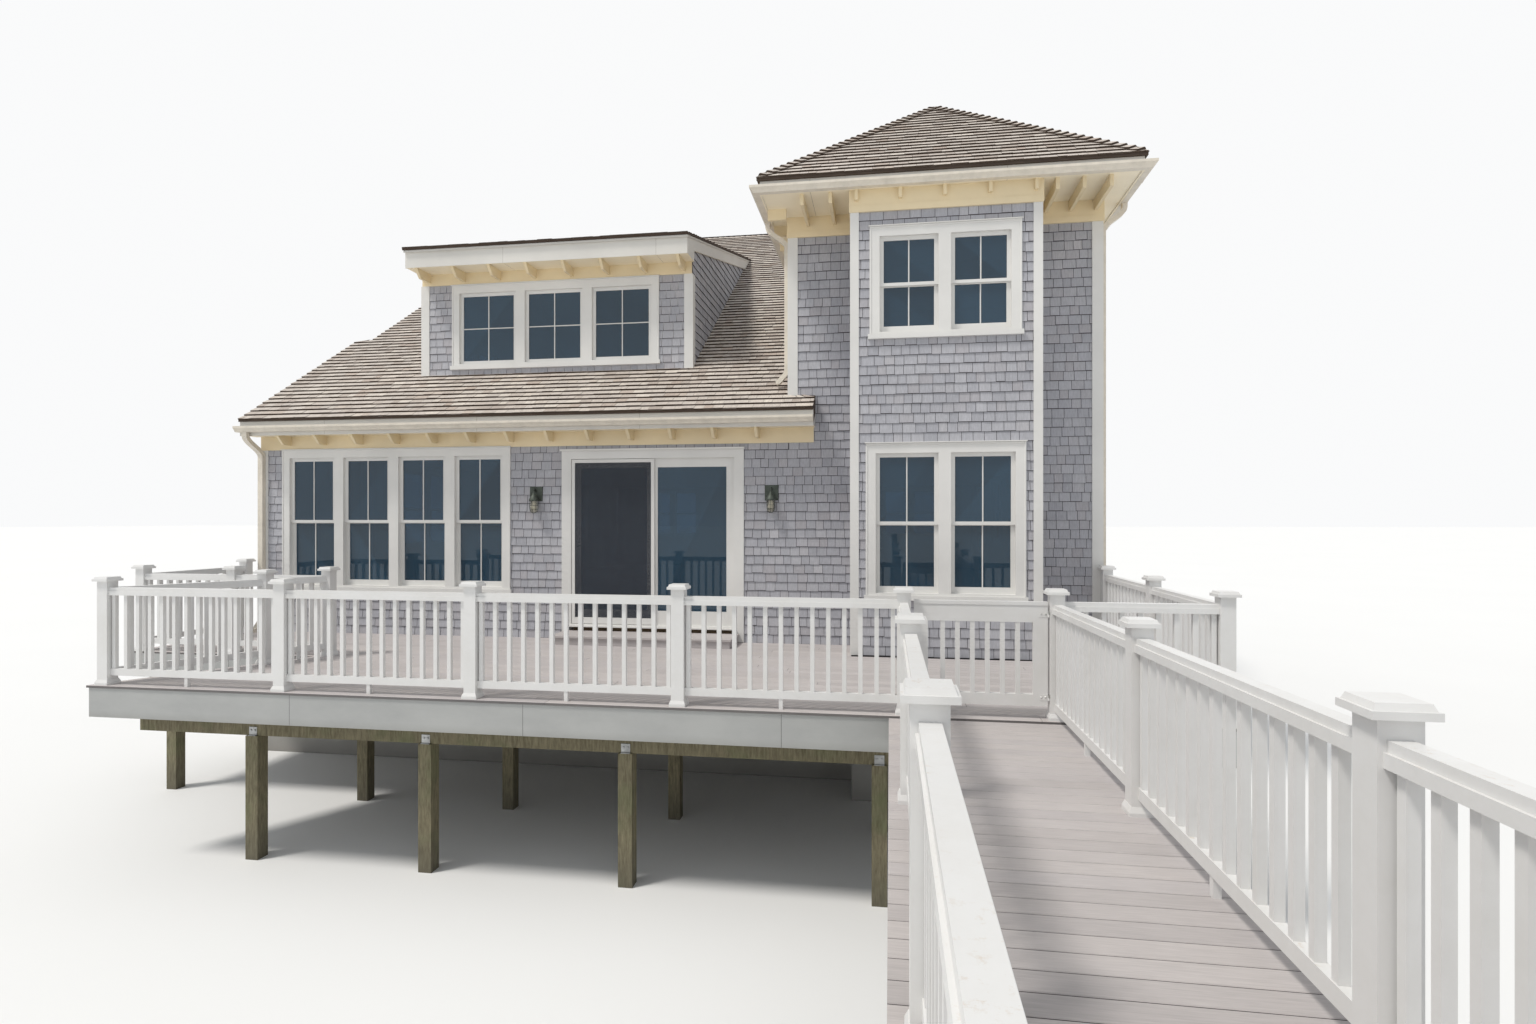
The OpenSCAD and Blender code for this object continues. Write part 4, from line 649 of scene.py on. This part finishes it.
def tower_and_dormer_shingles(finish):
    build = Builder()
    wall_courses(build, left_face(TOWER_LEFT), -TOWER_DEPTH, 0, ROOF_TOP, TOWER_SHINGLE_TOP)
    foot, slab = 5.8, 0.21
    wall_courses(build, front_face(DORMER_FRONT), DORMER_LEFT, DORMER_RIGHT, foot, DORMER_SHINGLE_TOP,
                 [dormer_row])

    def cheek_front(v):
        return max(DORMER_FRONT, DORMER_EDGE_Y + (v - DORMER_TOP + slab) / DORMER_PITCH - 0.3)

    def cheek_back(v):
        return (v - ROOF_TOP) / ROOF_PITCH + 0.05

    low, high = roof_at(DORMER_FRONT), dormer_at(DORMER_MEET) - slab
    wall_courses(build, right_face(DORMER_RIGHT), cheek_front, cheek_back, low, high)
    wall_courses(build, left_face(DORMER_LEFT), lambda v: -cheek_back(v), lambda v: -cheek_front(v),
                 low, high)
    return build.piece("tower_and_dormer_shingles", "wall_shingles", *finish)


def gable_edge(v):
    """How far from the ridge the wall may be shingled at height v, under the roof slab."""
    return RIDGE_Y - max(0.0, (v + 0.16 - ROOF_TOP) / ROOF_PITCH)


def side_and_back_shingles(finish):
    build = Builder()
    peak = roof_at(RIDGE_Y) - 0.3
    right = right_face(RIGHT)
    wall_courses(build, right, 0, TOWER_DEPTH, WALL_BASE, TOWER_SHINGLE_TOP, right_places)
    wall_courses(build, right, lambda v: max(TOWER_DEPTH, RIDGE_Y - gable_edge(v)),
                 lambda v: RIDGE_Y + gable_edge(v), WALL_BASE, peak, right_places)
    wall_courses(build, left_face(LEFT), -JOG, lambda v: -max(0.0, RIDGE_Y - gable_edge(v)), WALL_BASE,
                 roof_at(JOG) - 0.1)
    wall_courses(build, left_face(REAR_LEFT), lambda v: -(RIDGE_Y + gable_edge(v)),
                 lambda v: -max(JOG, RIDGE_Y - gable_edge(v)), WALL_BASE, peak, left_places)
    wall_courses(build, back_face(JOG), -REAR_LEFT, -LEFT, WALL_BASE, roof_at(JOG) - 0.2)
    wall_courses(build, back_face(DEPTH), -RIGHT, -REAR_LEFT, WALL_BASE, MAIN_SHINGLE_TOP, back_places)
    return build.piece("side_and_back_shingles", "wall_shingles", *finish)


def roof_courses(build, plane, length, left, right, holes=()):
    """Roof shingles from the eave up, with a doubled first course."""
    starter = 0.05
    courses(build, plane, 0.0, starter, left, right, starter, STARTER_STYLE, holes, lap=0.1)
    courses(build, plane, 0.0, length, left, right, ROOF_EXPOSURE, ROOF_STYLE, holes)


def bed(build, plane, left, right, length, thick):
    """The hidden layers of shingles on a roof plane, whose ends show along its edges in the butt material,
    dark partly as painted shade.
    """
    corners = ((left, 0), (right, 0), (right, length), (left, length))
    build.loft([[plane.at(u, v, lift) for u, v in corners] for lift in (0.0, thick)], kind=1)


def main_roof_shingles(finish):
    build = Builder()
    slope = math.atan(ROOF_PITCH)
    eave, run, rise = roof_at(-EAVE_OUT), math.cos(slope), math.sin(slope)
    length = (RIDGE_Y + EAVE_OUT) / run

    def y_at(v):
        return v * run - EAVE_OUT

    def front_left(v):
        return LEFT - RAKE_OUT if y_at(v) < JOG + RAKE_OUT else REAR_LEFT - RAKE_OUT

    def front_right(v):
        if y_at(v) < 0:
            return EAVE_END
        return TOWER_LEFT if y_at(v) < TOWER_DEPTH else RIGHT + RAKE_OUT

    # How far the courses run in under the dormer's walls, and under its roof
    wall_tuck, roof_tuck = 0.04, 0.3
    dormer = (DORMER_LEFT + wall_tuck, DORMER_RIGHT - wall_tuck,
              (DORMER_FRONT + EAVE_OUT + wall_tuck) / run, (DORMER_MEET + EAVE_OUT - roof_tuck) / run)
    front = Plane((0, -EAVE_OUT, eave), EX, (0, run, rise))
    back = Plane((0, DEPTH + EAVE_OUT, eave), -EX, (0, -run, rise))
    roof_courses(build, front, length, front_left, front_right, [dormer])
    roof_courses(build, back, length, flat(-RIGHT - RAKE_OUT), flat(RAKE_OUT - REAR_LEFT))
    return build.piece("main_roof_shingles", "roof_shingles", *finish)


def tower_and_dormer_roof_shingles(finish):
    build = Builder()
    slope = math.atan(TOWER_PITCH)
    run, rise, apex_gap = math.cos(slope), math.sin(slope), 0.02
    for turn in range(4):
        along, inward = compass(turn * math.pi / 2)
        origin = Vector((TOWER_X, TOWER_Y, TOWER_EDGE)) - TOWER_HALF * inward
        roof_courses(build, Plane(origin, along, inward * run + rise * EZ), TOWER_HALF / run - apex_gap,
                     lambda v: v * run - TOWER_HALF, lambda v: TOWER_HALF - v * run)
    pitch = math.atan(DORMER_PITCH)
    front_proud, side_proud, layers, past_meet = 0.015, 0.01, 0.022, 0.12
    plane = Plane((0, DORMER_EDGE_Y - front_proud, DORMER_TOP), EX, (0, math.cos(pitch), math.sin(pitch)))
    left, right = DORMER_LEFT - DORMER_SIDE - side_proud, DORMER_RIGHT + DORMER_SIDE + side_proud
    length = (DORMER_MEET - DORMER_EDGE_Y + past_meet) / math.cos(pitch)
    bed(build, plane, left, right, length, layers)
    plane.origin = plane.at(0, 0, layers)
    roof_courses(build, plane, length, flat(left), flat(right))
    return build.piece("tower_and_dormer_roof_shingles", "roof_shingles", *finish)


def cap_run(build, start, end, out, side, width=0.12, lift=0.0, butt=0.014, over=0.0):
    """Cap shingles from start to end on one face beside a ridge or hip; side is +1 or -1 across it."""
    up = (end - start).normalized()
    across = up.cross(Vector(out).normalized())
    plane = Plane(start + lift * Vector(out).normalized(), across, up)
    reach = sorted((-side * over, side * width))
    length, spacing, lap, thin = (end - start).length, 0.13, 0.03, 0.004
    count = round(length / spacing)
    step = length / count
    for k in range(count):
        v = k * step
        shingle(build, plane, (*reach, v), (*reach, min(v + step + lap, length)), butt, thin)


def roof_cap_shingles(finish):
    """Cap shingles along the main ridge and the tower's hips."""
    build = Builder()
    slope, hip_slope = math.atan(ROOF_PITCH), math.atan(TOWER_PITCH)
    ridge = roof_at(RIDGE_Y)
    ends = Vector((REAR_LEFT - RAKE_OUT, RIDGE_Y, ridge)), Vector((RIGHT + RAKE_OUT, RIDGE_Y, ridge))
    for side in (1, -1):
        cap_run(build, *ends, (0, -side * math.sin(slope), math.cos(slope)), side)
    apex = Vector((TOWER_X, TOWER_Y, TOWER_EDGE + TOWER_PITCH * TOWER_HALF))
    for sx in (-1, 1):
        for sy in (-1, 1):
            corner = Vector((TOWER_X + sx * TOWER_HALF, TOWER_Y + sy * TOWER_HALF, TOWER_EDGE))
            foot = corner.lerp(apex, 0.02)
            # The faces beside the hip: the way each looks, and the way along its eave from the corner
            for out, inner in ((sx * EX, -sy * EY), (sy * EY, -sx * EX)):
                normal = math.sin(hip_slope) * out + math.cos(hip_slope) * EZ
                side = 1 if (apex - corner).cross(normal).dot(inner) > 0 else -1
                cap_run(build, foot, apex, normal, side, 0.10, lift=0.012, butt=0.034, over=0.014)
    piece = build.piece("roof_cap_shingles", "roof_shingles", *finish)
    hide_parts("roof_caps")


def deck_planks(finish):
    """Deck boards along the house, with butt joints, round the bay and up to the slanted left edge."""
    build = Builder()
    overhang, shortest, half_joint, bay_gap = 0.09, 1.0, 0.0015, 0.004
    level = flat(DECK)

    def slanted(y):
        return SLANT_X + SLANT * (y - SLANT_Y) - overhang * math.sqrt(1 + SLANT ** 2)

    rows = round((-DECK_FRONT) / BOARD_PITCH)
    pitch = -DECK_FRONT / rows
    for k in range(rows):
        y0 = DECK_FRONT + k * pitch
        y1 = y0 + pitch - BOARD_GAP
        ends = [slanted if y1 < STRIP_FRONT + 0.02 else flat(STRIP_LEFT)]
        x = rng.uniform(-4.2, -1.0)
        while x < DECK_RIGHT - shortest:
            ends.append(flat(x))
            x += rng.uniform(3.2, 4.8)
        ends.append(flat(DECK_RIGHT))
        for a, b in zip(ends, ends[1:]):
            start, stop = (lambda y, a=a: a(y) + half_joint), (lambda y, b=b: b(y) - half_joint)
            if y1 > -BAY_OUT and stop(y0) > BAY_LEFT and start(y0) < BAY_RIGHT:
                if start(y0) < BAY_LEFT:
                    plank(build, y0, y1, level, start, flat(BAY_LEFT - bay_gap))
                if stop(y0) > BAY_RIGHT:
                    plank(build, y0, y1, level, flat(BAY_RIGHT + bay_gap), stop)
            else:
                plank(build, y0, y1, level, start, stop)
    piece = build.piece("deck_planks", "deck_planks", *finish)
    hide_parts("deck_boards")


def walk_planks(finish):
    """Boards across the boardwalk, which rises away from the house."""
    build = Builder()
    rows = round((DECK_FRONT - WALK_END) / BOARD_PITCH)
    pitch = (DECK_FRONT - WALK_END) / rows
    for k in range(rows):
        y0 = WALK_END + k * pitch
        plank(build, y0, y0 + pitch - BOARD_GAP, walk_at, flat(WALK_LEFT), flat(WALK_RIGHT))
    piece = build.piece("walk_planks", "deck_planks", *finish)
    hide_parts("boardwalk_boards")


def bar(build, place, u0, u1, v0, v1, depth, proud, chamfer=0.004):
    """A moulded bar on a window's plane, from depth forward by proud."""
    rings = []
    for inset, level in ((0, depth), (0, depth - proud + chamfer), (chamfer, depth - proud)):
        a, b, c, d = u0 + inset, u1 - inset, v0 + inset, v1 - inset
        rings.append([place.at(u, level, v) for u, v in ((a, c), (b, c), (b, d), (a, d))])
    build.loft(rings)


def window_bars(finish):
    """Glazing bars in front of every pane."""
    build = Builder()
    half_bar, outer_pane, inner_pane, bottom_rail, meeting_rail = 0.008, 0.034, 0.068, 0.08, 0.04
    for place in all_places:
        count, unit, height = place.size
        inner = height - 2 * JAMB
        half = inner / 2 + meeting_rail / 2
        for i in range(count):
            middle = i * (unit + MULLION) + unit / 2
            left, right = middle - unit / 2 + JAMB + SASH, middle + unit / 2 - JAMB - SASH
            if place.hung:
                spans = [(JAMB + inner - half + meeting_rail, JAMB + inner - SASH, outer_pane),
                         (JAMB + bottom_rail, JAMB + half - SASH, inner_pane)]
            else:
                spans = [(JAMB + SASH, JAMB + inner - SASH, outer_pane)]
                v = height / 2
                bar(build, place, left, right, v - half_bar, v + half_bar, outer_pane, 0.009)
            for v0, v1, depth in spans:
                bar(build, place, middle - half_bar, middle + half_bar, v0, v1, depth, 0.010)
    return build.piece("window_bars", "trim_paint", finish)


def casing_bands(finish):
    """The raised outer band round each window's casing, with a drip cap over its head."""
    build = Builder()
    band, proud, face = 0.024, 0.008, -0.022
    lip, cap_thick, cap_out = 0.012, 0.012, 0.046
    for place in all_places:
        width, height = group_width(place.size), place.size[2]
        lo, hi, top = -CASING, width + CASING, height + CASING
        bar(build, place, lo, lo + band, 0, top, face, proud)
        bar(build, place, hi - band, hi, 0, top, face, proud)
        bar(build, place, lo + band, hi - band, top - band, top, face, proud)
        bar(build, place, lo - lip, hi + lip, top, top + cap_thick, 0.0, cap_out, 0.003)
    return build.piece("casing_bands", "trim_paint", finish)


def gutter_bands(finish):
    """Lap seams round the gutters, and straps round the downspouts."""
    build = Builder()
    grow, width, strap_high, strap_thick = 0.0025, 0.016, 0.03, 0.001
    # On the back and the right, where the gutters end the part, a seam leaves out the face's upper end
    short = OGEE[:5]

    def band(origin, along, out, outline=OGEE):
        """A thin band that follows the ogee."""
        rings = []
        for shift in (0.0, width):
            start = Vector(origin) + shift * along
            outer = [start + (d + grow) * out + (h - grow) * EZ for d, h in outline]
            inner = [start + d * out + h * EZ for d, h in reversed(outline)]
            rings.append(outer + inner)
        build.loft(rings)

    def strap(x, y, z, wide, deep):
        """A flat strap round a downspout whose middle is at x, y."""
        rings = []
        for grown, h in ((0, 0.0), (2 * strap_thick, 0.0), (2 * strap_thick, strap_high), (0, strap_high)):
            rings.append([Vector((x + sx * (wide + grown) / 2, y + sy * (deep + grown) / 2, z + h))
                          for sx, sy in ((-1, -1), (1, -1), (1, 1), (-1, 1))])
        build.loft(rings, caps=False)

    pitch, tower_pitch, left_end = 0.66, 0.62, 3.2
    for k in range(13):
        band((LEFT + 0.25 + pitch * k, -GUTTER_OUT, GUTTER_LOW), EX, -EY)
    for k in range(17):
        band((REAR_LEFT + 0.5 + pitch * k, DEPTH + GUTTER_OUT, GUTTER_LOW), EX, EY, short)
    for k in range(7):
        shift = -1.95 + tower_pitch * k
        band((TOWER_X + shift, TOWER_Y - TOWER_GUTTER, GUTTER_HIGH), EX, -EY)
        if TOWER_Y + shift < left_end:
            band((TOWER_X - TOWER_GUTTER, TOWER_Y + shift, GUTTER_HIGH), EY, -EX)
        band((TOWER_X + TOWER_GUTTER, TOWER_Y + shift, GUTTER_HIGH), EY, EX, short)
    middle = SPOUT_GAP + SPOUT_DEPTH / 2
    for z in (2.45, 3.95):
        strap(SPOUT_X, -middle, z, SPOUT_WIDTH, SPOUT_DEPTH)
    for z in (0.9, 2.6, 4.3, 6.0, 7.1):
        strap(RIGHT + middle, SPOUT_Y, z, SPOUT_DEPTH, SPOUT_WIDTH)
    strap(TOWER_LEFT - middle, SPOUT_Y, 6.9, SPOUT_DEPTH, SPOUT_WIDTH)
    return build.piece("gutter_bands", "gutter_metal", finish)


def disc(centre, radius, axis_x, axis_y, sides=20):
    """A ring of points round centre."""
    return [centre + radius * (math.cos(a) * axis_x + math.sin(a) * axis_y)
            for a in (2 * math.pi * k / sides for k in range(sides))]


def lathe(build, centre, profile, kind):
    """A turned form on an upright axis; profile is (radius, height) from the bottom up."""
    build.loft([disc(centre + h * EZ, r, EX, EY) for r, h in profile], kind=kind)


def wire(build, points, radius, sides):
    """A round wire through points."""
    rings = []
    for k, p in enumerate(points):
        ahead = points[min(k + 1, len(points) - 1)] - points[max(k - 1, 0)]
        ahead.normalize()
        side = ahead.cross(Vector((0.3, 0.9, 0.31))).normalized()
        rings.append(disc(p, radius, side, ahead.cross(side), sides))
    build.loft(rings)


def wall_lanterns(metal, jar, core):
    """Caged wall lanterns: a square plate, a domed hood on an arm, and a glass jar in a wire cage."""
    build = Builder()
    wide, high = LANTERN_PLATE
    hub_out, cage_wire, ribs = 0.095, 0.003, 6
    # Outlines as (distance from the hub's axis, height above the deck)
    hood = ((0.060, 1.965), (0.070, 1.970), (0.068, 1.985), (0.056, 2.010), (0.036, 2.040), (0.022, 2.060),
            (0.014, 2.085))
    glass = ((0.012, 1.800), (0.034, 1.806), (0.046, 1.825), (0.050, 1.860), (0.048, 1.930), (0.044, 1.965))
    bulb = ((0.004, 1.840), (0.018, 1.850), (0.026, 1.885), (0.018, 1.925), (0.014, 1.960))
    cage = ((0.060, 1.968), (0.058, 1.86), (0.046, 1.815), (0.012, 1.792))
    for x in LANTERN_X:
        plate = Place(x - wide / 2, 0, DECK + 1.965, 0, (1, wide, high))
        bar(build, plate, 0, wide, 0, high, -0.001, 0.024, 0.006)
        hub = Vector((x, -hub_out, DECK))
        arm = [Vector((x, -out, DECK + height))
               for out, height in ((0.02, 2.10), (0.06, 2.135), (hub_out, 2.12), (hub_out, 2.07))]
        wire(build, arm, 0.013, 12)
        for kind, outline in enumerate((hood, glass, bulb)):
            lathe(build, hub, outline, kind)
        for k in range(ribs):
            out = compass(2 * math.pi * (k + 0.5) / ribs)[0]
            wire(build, [hub + r * out + h * EZ for r, h in cage], cage_wire, 6)
        for radius, height in ((0.059, 1.90), (0.056, 1.85)):
            ring = disc(hub + height * EZ, radius, EX, EY, 24)
            wire(build, ring + ring[:2], cage_wire, 6)
    piece = build.piece("caged_wall_lanterns", "lantern_metal", metal, jar, core)
    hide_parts("wall_lanterns")
    return piece


def hinge_bolts(finish):
    """Domed bolt heads on the gate's hinge straps."""
    build = Builder()
    dome = ((0.008, -0.001), (0.008, 0.001), (0.006, 0.003), (0.002, 0.004))
    for z in HINGE_LEVELS:
        for inset in (0.018, 0.052):
            centre = Vector((GATE_EDGE - inset, GATE_FACE, z))
            build.loft([disc(centre - out * EY, radius, EX, EZ, 16) for radius, out in dome])
    return build.piece("hinge_bolts", "hinge_steel", finish, body="gate")


def beam_angles(finish):
    """Galvanised angles that hold the beams on the piles, each with two hexagonal bolts."""
    build = Builder()
    leg, foot, steel, half = 0.09, 0.023, 0.005, 0.045
    outline = ((0, 0), (foot, 0), (foot, steel), (steel, steel), (steel, leg), (0, leg))
    # Bolts: their place on the angle, and each step's radius, near and far side, and number of sides
    bolt_x, bolt_z = 0.022, 0.055
    washer, head = (0.014, 0, 0.002, 20), (0.010, 0.002, 0.009, 6)

    def angle_at(x, y, z, out):
        """An angle against a beam's face at y, which looks towards out: -1 or 1 along Y."""
        rings = [[(x + side * half, y + out * d, z + h) for d, h in outline] for side in (-out, out)]
        build.loft(rings)
        for u in (-bolt_x, bolt_x):
            hub = Vector((x + u, y + out * steel, z + bolt_z))
            for radius, near, far, sides in (washer, head):
                build.loft([disc(hub + out * d * EY, radius, -out * EX, EZ, sides) for d in (near, far)])

    places = [(x, y, y + BEAM_W, BEAM_LOW) for y in BEAM_ROWS for x in PILE_X]
    places.append((STRIP_PILE, BEAM_ROWS[1], BEAM_ROWS[1] + BEAM_W, BEAM_LOW))
    for k in range(1, BENT_COUNT + 1):
        y = BENT_START - k * BENT_PITCH
        places += [(x, y - BEAM_W / 2, y + BEAM_W / 2, walk_at(y) - BENT_DROP) for x in BENT_X]
    for x, front, back, z in places:
        angle_at(x, front, z, -1)
        angle_at(x, back, z, 1)
    return build.piece("beam_angles", "hinge_steel", finish)


# Studio


def light_studio(scene):
    """White surroundings, an even sky for the light, and one wide soft lamp from the upper left."""
    world = bpy.data.worlds.new("studio")
    world.use_nodes = True
    scene.world = world
    tree = world.node_tree
    tree.nodes.clear()
    output, blend, path, sky, shown, either, seen = [
        tree.nodes.new("ShaderNode" + kind) for kind in
        ("OutputWorld", "MixShader", "LightPath", "Background", "Background", "Math", "Math")]
    sky.inputs["Color"].default_value = (0.93, 0.965, 1.0, 1)
    sky.inputs["Strength"].default_value = 0.66
    shown.inputs["Color"].default_value = (0.955, 0.96, 0.965, 1)
    either.operation = seen.operation = "MAXIMUM"
    links = ((path.outputs["Is Glossy Ray"], either.inputs[0]),
             (path.outputs["Is Transmission Ray"], either.inputs[1]),
             (path.outputs["Is Camera Ray"], seen.inputs[0]), (either.outputs[0], seen.inputs[1]),
             (seen.outputs[0], blend.inputs[0]), (sky.outputs[0], blend.inputs[1]),
             (shown.outputs[0], blend.inputs[2]), (blend.outputs[0], output.inputs["Surface"]))
    for start, end in links:
        tree.links.new(start, end)

    lamp = bpy.data.lights.new("soft_lamp", "SUN")
    lamp.energy = 2.2
    lamp.angle = math.radians(11)
    lamp.color = (1.0, 0.965, 0.91)
    holder = bpy.data.objects.new("soft_lamp", lamp)
    towards = Vector((0.48, 0.32, -0.95))
    holder.rotation_euler = towards.to_track_quat("-Z", "Y").to_euler()
    scene.collection.objects.link(holder)


def lay_floor(scene):
    """A plain pale floor with a faint unevenness."""
    f = Finish("studio_floor", roughness=0.9)
    tint = f.mix(f.noise(0.15, detail=3.0), (0.80, 0.80, 0.795), (0.83, 0.83, 0.825))
    reach = 400.0
    corners = [(reach * sx, reach * sy, 0) for sx, sy in ((-1, -1), (1, -1), (1, 1), (-1, 1))]
    mesh = bpy.data.meshes.new("studio_floor")
    mesh.from_pydata(corners, [], [(0, 1, 2, 3)])
    mesh.materials.append(f.use(tint))
    floor = bpy.data.objects.new("studio_floor", mesh)
    scene.collection.objects.link(floor)


def set_camera(scene):
    """The photograph's view: from beside the boardwalk, level, a little to the left."""
    data = bpy.data.cameras.new("view")
    sensor, pixels_wide, focal_pixels, raised_pixels = 36.0, 1536, 785, 7.5
    data.sensor_width = sensor
    data.lens = sensor * focal_pixels / pixels_wide
    data.shift_y = raised_pixels / pixels_wide
    data.clip_start = 0.02
    data.clip_end = 1000
    camera = bpy.data.objects.new("view", data)
    camera.location = (3.394, -10.68, DECK + 1.701)
    camera.rotation_euler = (math.radians(90), 0, math.radians(8.82))
    scene.collection.objects.link(camera)
    scene.camera = camera


scene = bpy.context.scene
scene.view_settings.view_transform = "Standard"
set_camera(scene)
light_studio(scene)
lay_floor(scene)

trim = paint_finish("trim_paint", (0.765, 0.755, 0.73))
# Cream for the frieze boards and rafter tails under the eaves, partly paint and partly painted warm bounce
# light
cream_and_bounce_light = paint_finish("cream_paint_and_bounce_light", (0.83, 0.695, 0.46))
finishes = {
    # The backings' dark colours are partly painted shade where they show between and beside the shingles
    "wall_shingles": backing_finish("wall_backing", (0.10, 0.092, 0.098)),
    "foundation": concrete_finish(),
    "floor_wood": floor_board_finish(),
    "roof_shingles": backing_finish("roof_backing", (0.07, 0.048, 0.034)),
    "trim_paint": trim,
    "gutter_metal": metal_finish("gutter_enamel", (0.76, 0.70, 0.60), 0.38, wear=0.16),
    # Glass tints, dark partly as painted shade of the rooms behind
    "window_glass": glass_finish("window_glass", (0.06, 0.15, 0.24)),
    "door_glass": glass_finish("door_glass", (0.09, 0.25, 0.36)),
    "screen_fabric": screen_finish(),
    "lantern_metal": metal_finish("lantern_bronze", (0.085, 0.10, 0.085), 0.5, metallic=0.6, wear=0.4),
    "deck_planks": plank_finish(),
    "frame_timber": timber_finish(),
    "rail_vinyl": vinyl_finish(),
    "hinge_steel": metal_finish("hinge_steel", (0.62, 0.62, 0.60), 0.3, metallic=1.0),
}
own = {"eave_boards": eave_finish((0.72, 0.70, 0.655), (0.96, 0.87, 0.68)), "rafter_tails": cream_and_bounce_light,
       "frieze_boards": cream_and_bounce_light, "deck_fascia": fascia_finish()}
for part in frame["record"]["subparts"]:
    obj = frame["nodes"][part["node"]]
    obj.data.materials.clear()
    obj.data.materials.append(own.get(part["node"], finishes[part["material_slot"]]))

# Butt colours, dark partly as painted shade under each course and in the joints
wall_set = (wall_shingle_finish(), butt_and_shade_finish("wall_butt_and_shade", (0.13, 0.12, 0.13)))
roof_set = (roof_shingle_finish(), butt_and_shade_finish("roof_butt_and_shade", (0.075, 0.05, 0.035)))
# The boards' sides and undersides take a darker copy of the plank finish as painted shade
plank_set = (finishes["deck_planks"], plank_finish("deck_plank_painted_shade_side", 0.3))
front_wall_shingles(wall_set)
tower_and_dormer_shingles(wall_set)
side_and_back_shingles(wall_set)
main_roof_shingles(roof_set)
tower_and_dormer_roof_shingles(roof_set)
roof_cap_shingles(roof_set)
deck_planks(plank_set)
walk_planks(plank_set)
window_bars(trim)
casing_bands(trim)
gutter_bands(finishes["gutter_metal"])
hinge_bolts(finishes["hinge_steel"])
beam_angles(metal_finish("galvanised_steel", (0.50, 0.51, 0.51), 0.42, metallic=0.8, wear=0.35))
jar = Finish("lantern_glass", roughness=0.15, ior=1.5, transmission=0.9)
core = Finish("lantern_bulb", roughness=0.4)
lanterns = wall_lanterns(finishes["lantern_metal"],
                         jar.use(jar.mix(jar.noise(30.0), (0.75, 0.72, 0.60), (0.85, 0.83, 0.72))),
                         core.use(core.mix(core.noise(60.0), (0.80, 0.76, 0.66), (0.88, 0.85, 0.78))))
lanterns.data.shade_smooth()
lanterns.data.set_sharp_from_angle(angle=math.radians(35))
